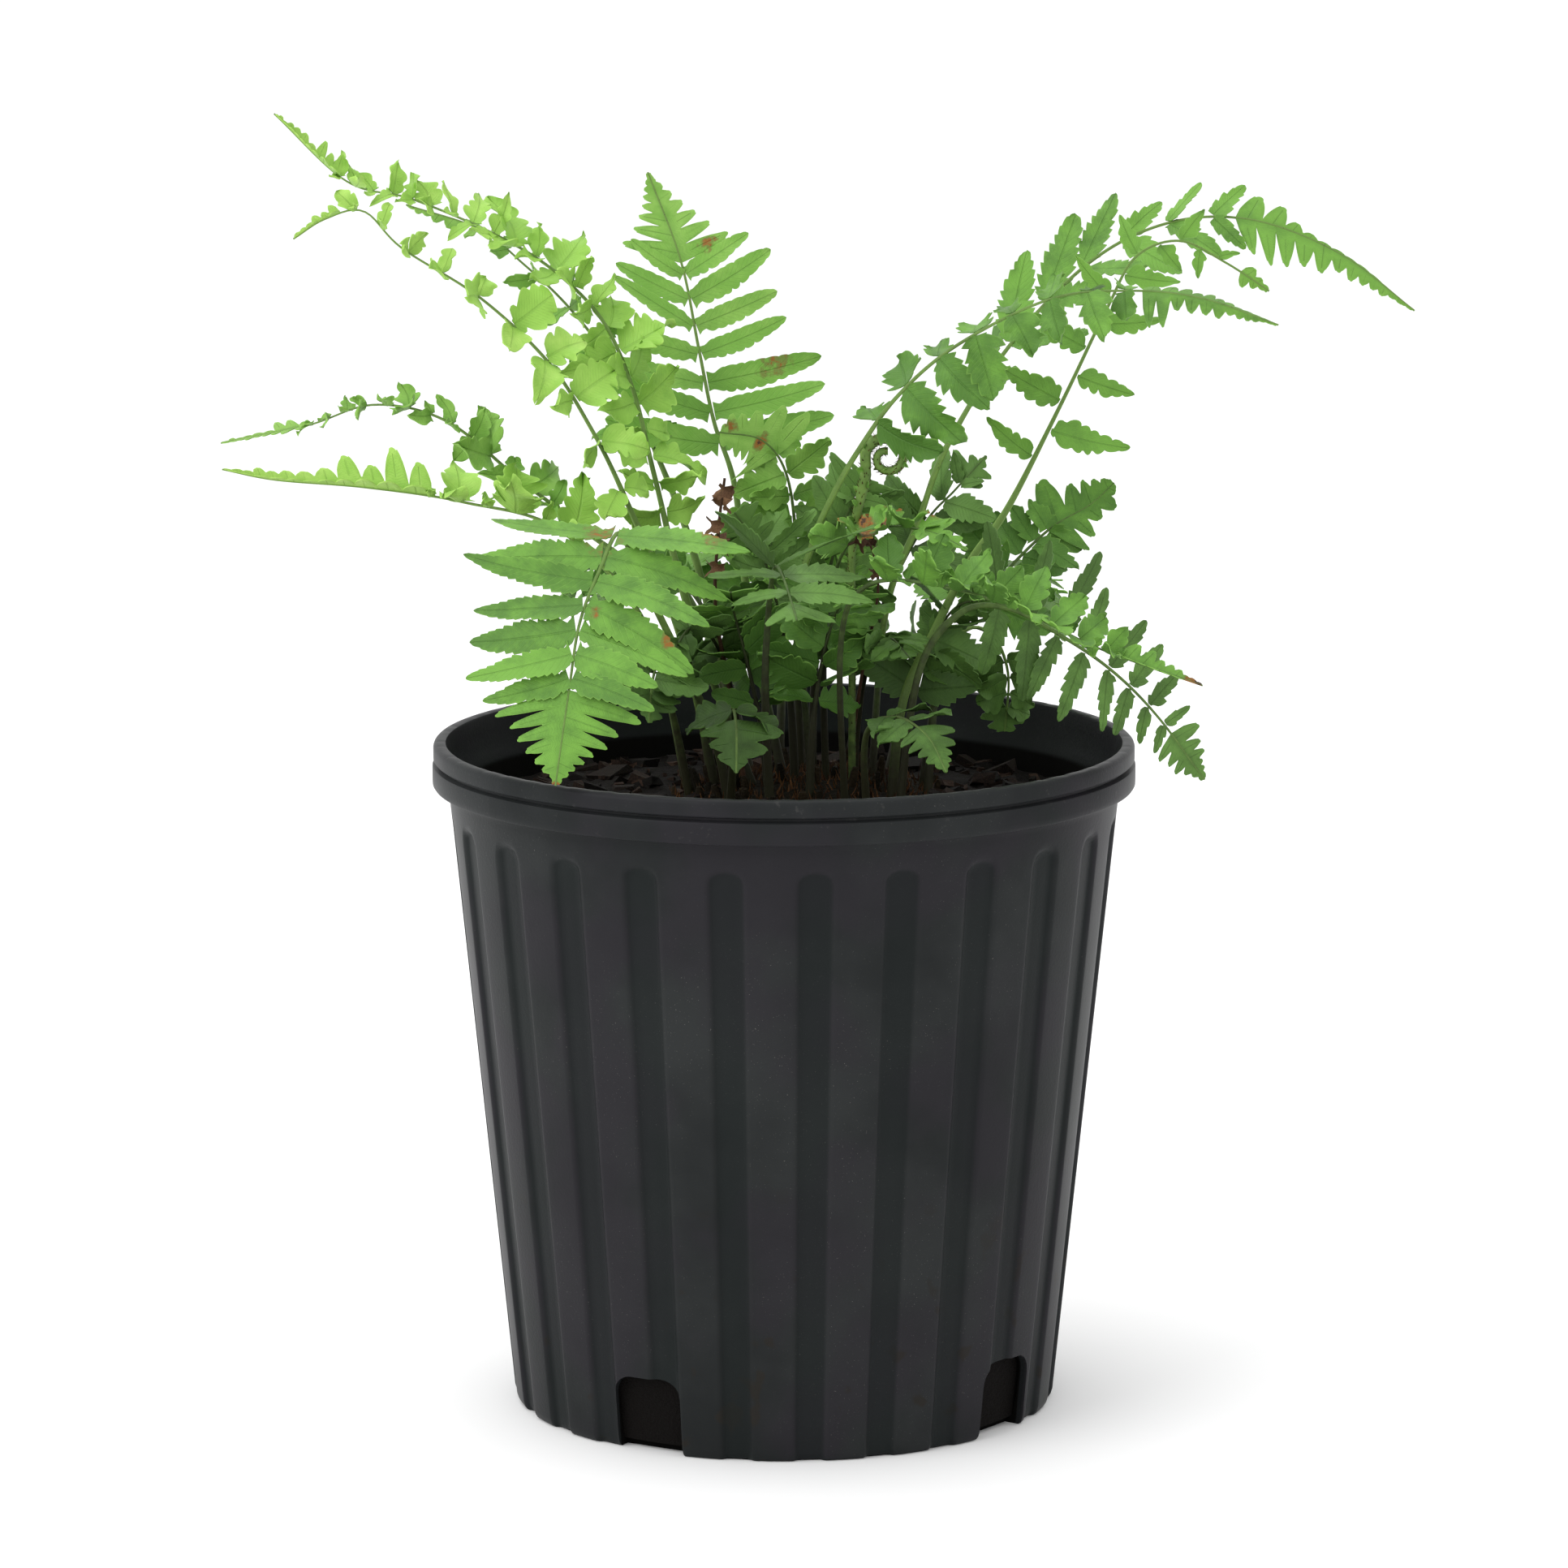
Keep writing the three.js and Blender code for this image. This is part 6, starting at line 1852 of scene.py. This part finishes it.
        bare=0.42, reach=25, side=((1, 0.2, -0.1),) * 2, lift=(-8, 0), taper=0.6, cut=BROAD, tint=-0.1,
        wild=0.9,
    ),
    inner(
        "inner_far_right", ((37, 2, 191), (40, 0, 222), (46, -4, 246), (55, -8, 262), (66, -14, 266)),
        bare=0.42, reach=24, side=((1, 0, 0), (0.3, 0.2, -0.9)), lift=(-8, 0), taper=0.6, tone=Tone.DARK,
        tint=0.9, trims=((1.3, 1.2),) * 2,
    ),
    inner(
        "inner_back", ((9, 20, 191), (10, 19, 236), (14, 20, 266), (20, 18, 288), (28, 14, 301)),
        bare=0.5, reach=24, side=((1, 0, -0.1), (1, 0, -0.3)), sweep=(12, 30), taper=0.5, cut=CRENATE,
        tone=Tone.DARK, tint=1.0,
    ),
    inner(
        "inner_middle", ((4, 4, 191), (2, 4, 232), (-2, 5, 260), (-8, 4, 280), (-16, 0, 292)),
        bare=0.46, pairs=6, reach=25, side=((1, 0.1, 0.1), (1, 0.1, 0.3)), taper=0.55, cut=SCALLOPED,
        tone=Tone.DARK, tint=0.95,
    ),
)
WITHERED_FRONDS = (
    WitheredFrond(((-12, -8, 200), (-17, -8, 232), (-22, -10, 262), (-21, -12, 288), (-19, -14, 305)), 71),
    WitheredFrond(((20, -2, 201), (25, -10, 240), (30, -20, 268), (28, -26, 284), (23, -28, 289)), 72,
                  leaflets=3, length=7.0, half=0.6, first=0.85),
)


# Painted light and shade: the bright green is lighter and the deep green darker than the fronds' own greens,
# for the light on the high fronds and the shade on the low ones.
LEAF_FINISHES = {
    Tone.BRIGHT: LeafFinish("bright leaf with painted light", (0.16, 0.345, 0.047), (0.26, 0.49, 0.075), (0.38, 0.61, 0.125),
                            (0.10, 0.22, 0.035)),
    Tone.MID: LeafFinish("fresh leaf", (0.076, 0.182, 0.030), (0.150, 0.335, 0.048), (0.235, 0.44, 0.084),
                         (0.03, 0.085, 0.018)),
    Tone.DARK: LeafFinish("deep leaf with painted shade", (0.027, 0.056, 0.012), (0.057, 0.12, 0.025), (0.112, 0.232, 0.047),
                          (0.012, 0.028, 0.008)),
}
STALK_FINISH = StalkFinish("stalk", (0.17, 0.29, 0.06), (0.055, 0.105, 0.022), (0.022, 0.022, 0.009))
SCALE_FINISH = EarthFinish("brown scale", (0.03, 0.014, 0.006), (0.13, 0.06, 0.022), 300.0, 0.7, 0.0002)
# The potting mix's browns hold painted shade: darker than the mix's own colour, for the shade of the pot and
# the fronds above.
EARTH_FINISH = EarthFinish("potting mix", (0.003, 0.0022, 0.0018), (0.012, 0.008, 0.006), 160.0)
BARK_FINISH = EarthFinish("bark", (0.005, 0.004, 0.0033), (0.038, 0.022, 0.015), 240.0, 0.85, 0.0004)
WITHERED_FINISH = EarthFinish("withered leaf", (0.05, 0.025, 0.014), (0.17, 0.09, 0.045), 260.0, 0.7, 0.0002)
ROOT_FINISH = EarthFinish("rootstock", (0.007, 0.006, 0.003), (0.035, 0.024, 0.012), 200.0)


def main() -> None:
    """Builds the studio and the potted fern, piece by piece."""
    logging.basicConfig(level=logging.INFO, format="%(name)s: %(message)s")
    Studio().build()
    settle(NurseryPot().build(PotFinish().material()), "pot", "pot")
    mix = PottingMix()
    settle(mix.build(EARTH_FINISH.material()), "potting_mix", "potting_mix")
    settle(mix.build_bits(BARK_FINISH.material()), "potting_mix")
    rootstock = Rootstock()
    settle(rootstock.build(ROOT_FINISH.material()), "crown", "crown")
    scale = SCALE_FINISH.material()
    settle(rootstock.build_scales(scale), "crown")
    leaves = {tone: finish.material() for tone, finish in LEAF_FINISHES.items()}
    stalk = STALK_FINISH.material()
    for number, plan in enumerate(FROND_PLANS):
        settle(Frond(plan, number + 1).build(leaves[plan.tone], stalk), plan.tone.value, plan.node)
    settle(Crozier().build(leaves[Tone.MID], stalk, scale), "crozier", "crozier")
    withered = Shell()
    for one in WITHERED_FRONDS:
        one.add_to(withered)
    settle(withered.object("withered_fronds", [WITHERED_FINISH.material()]), "crown")


if __name__ == "__main__":
    main()
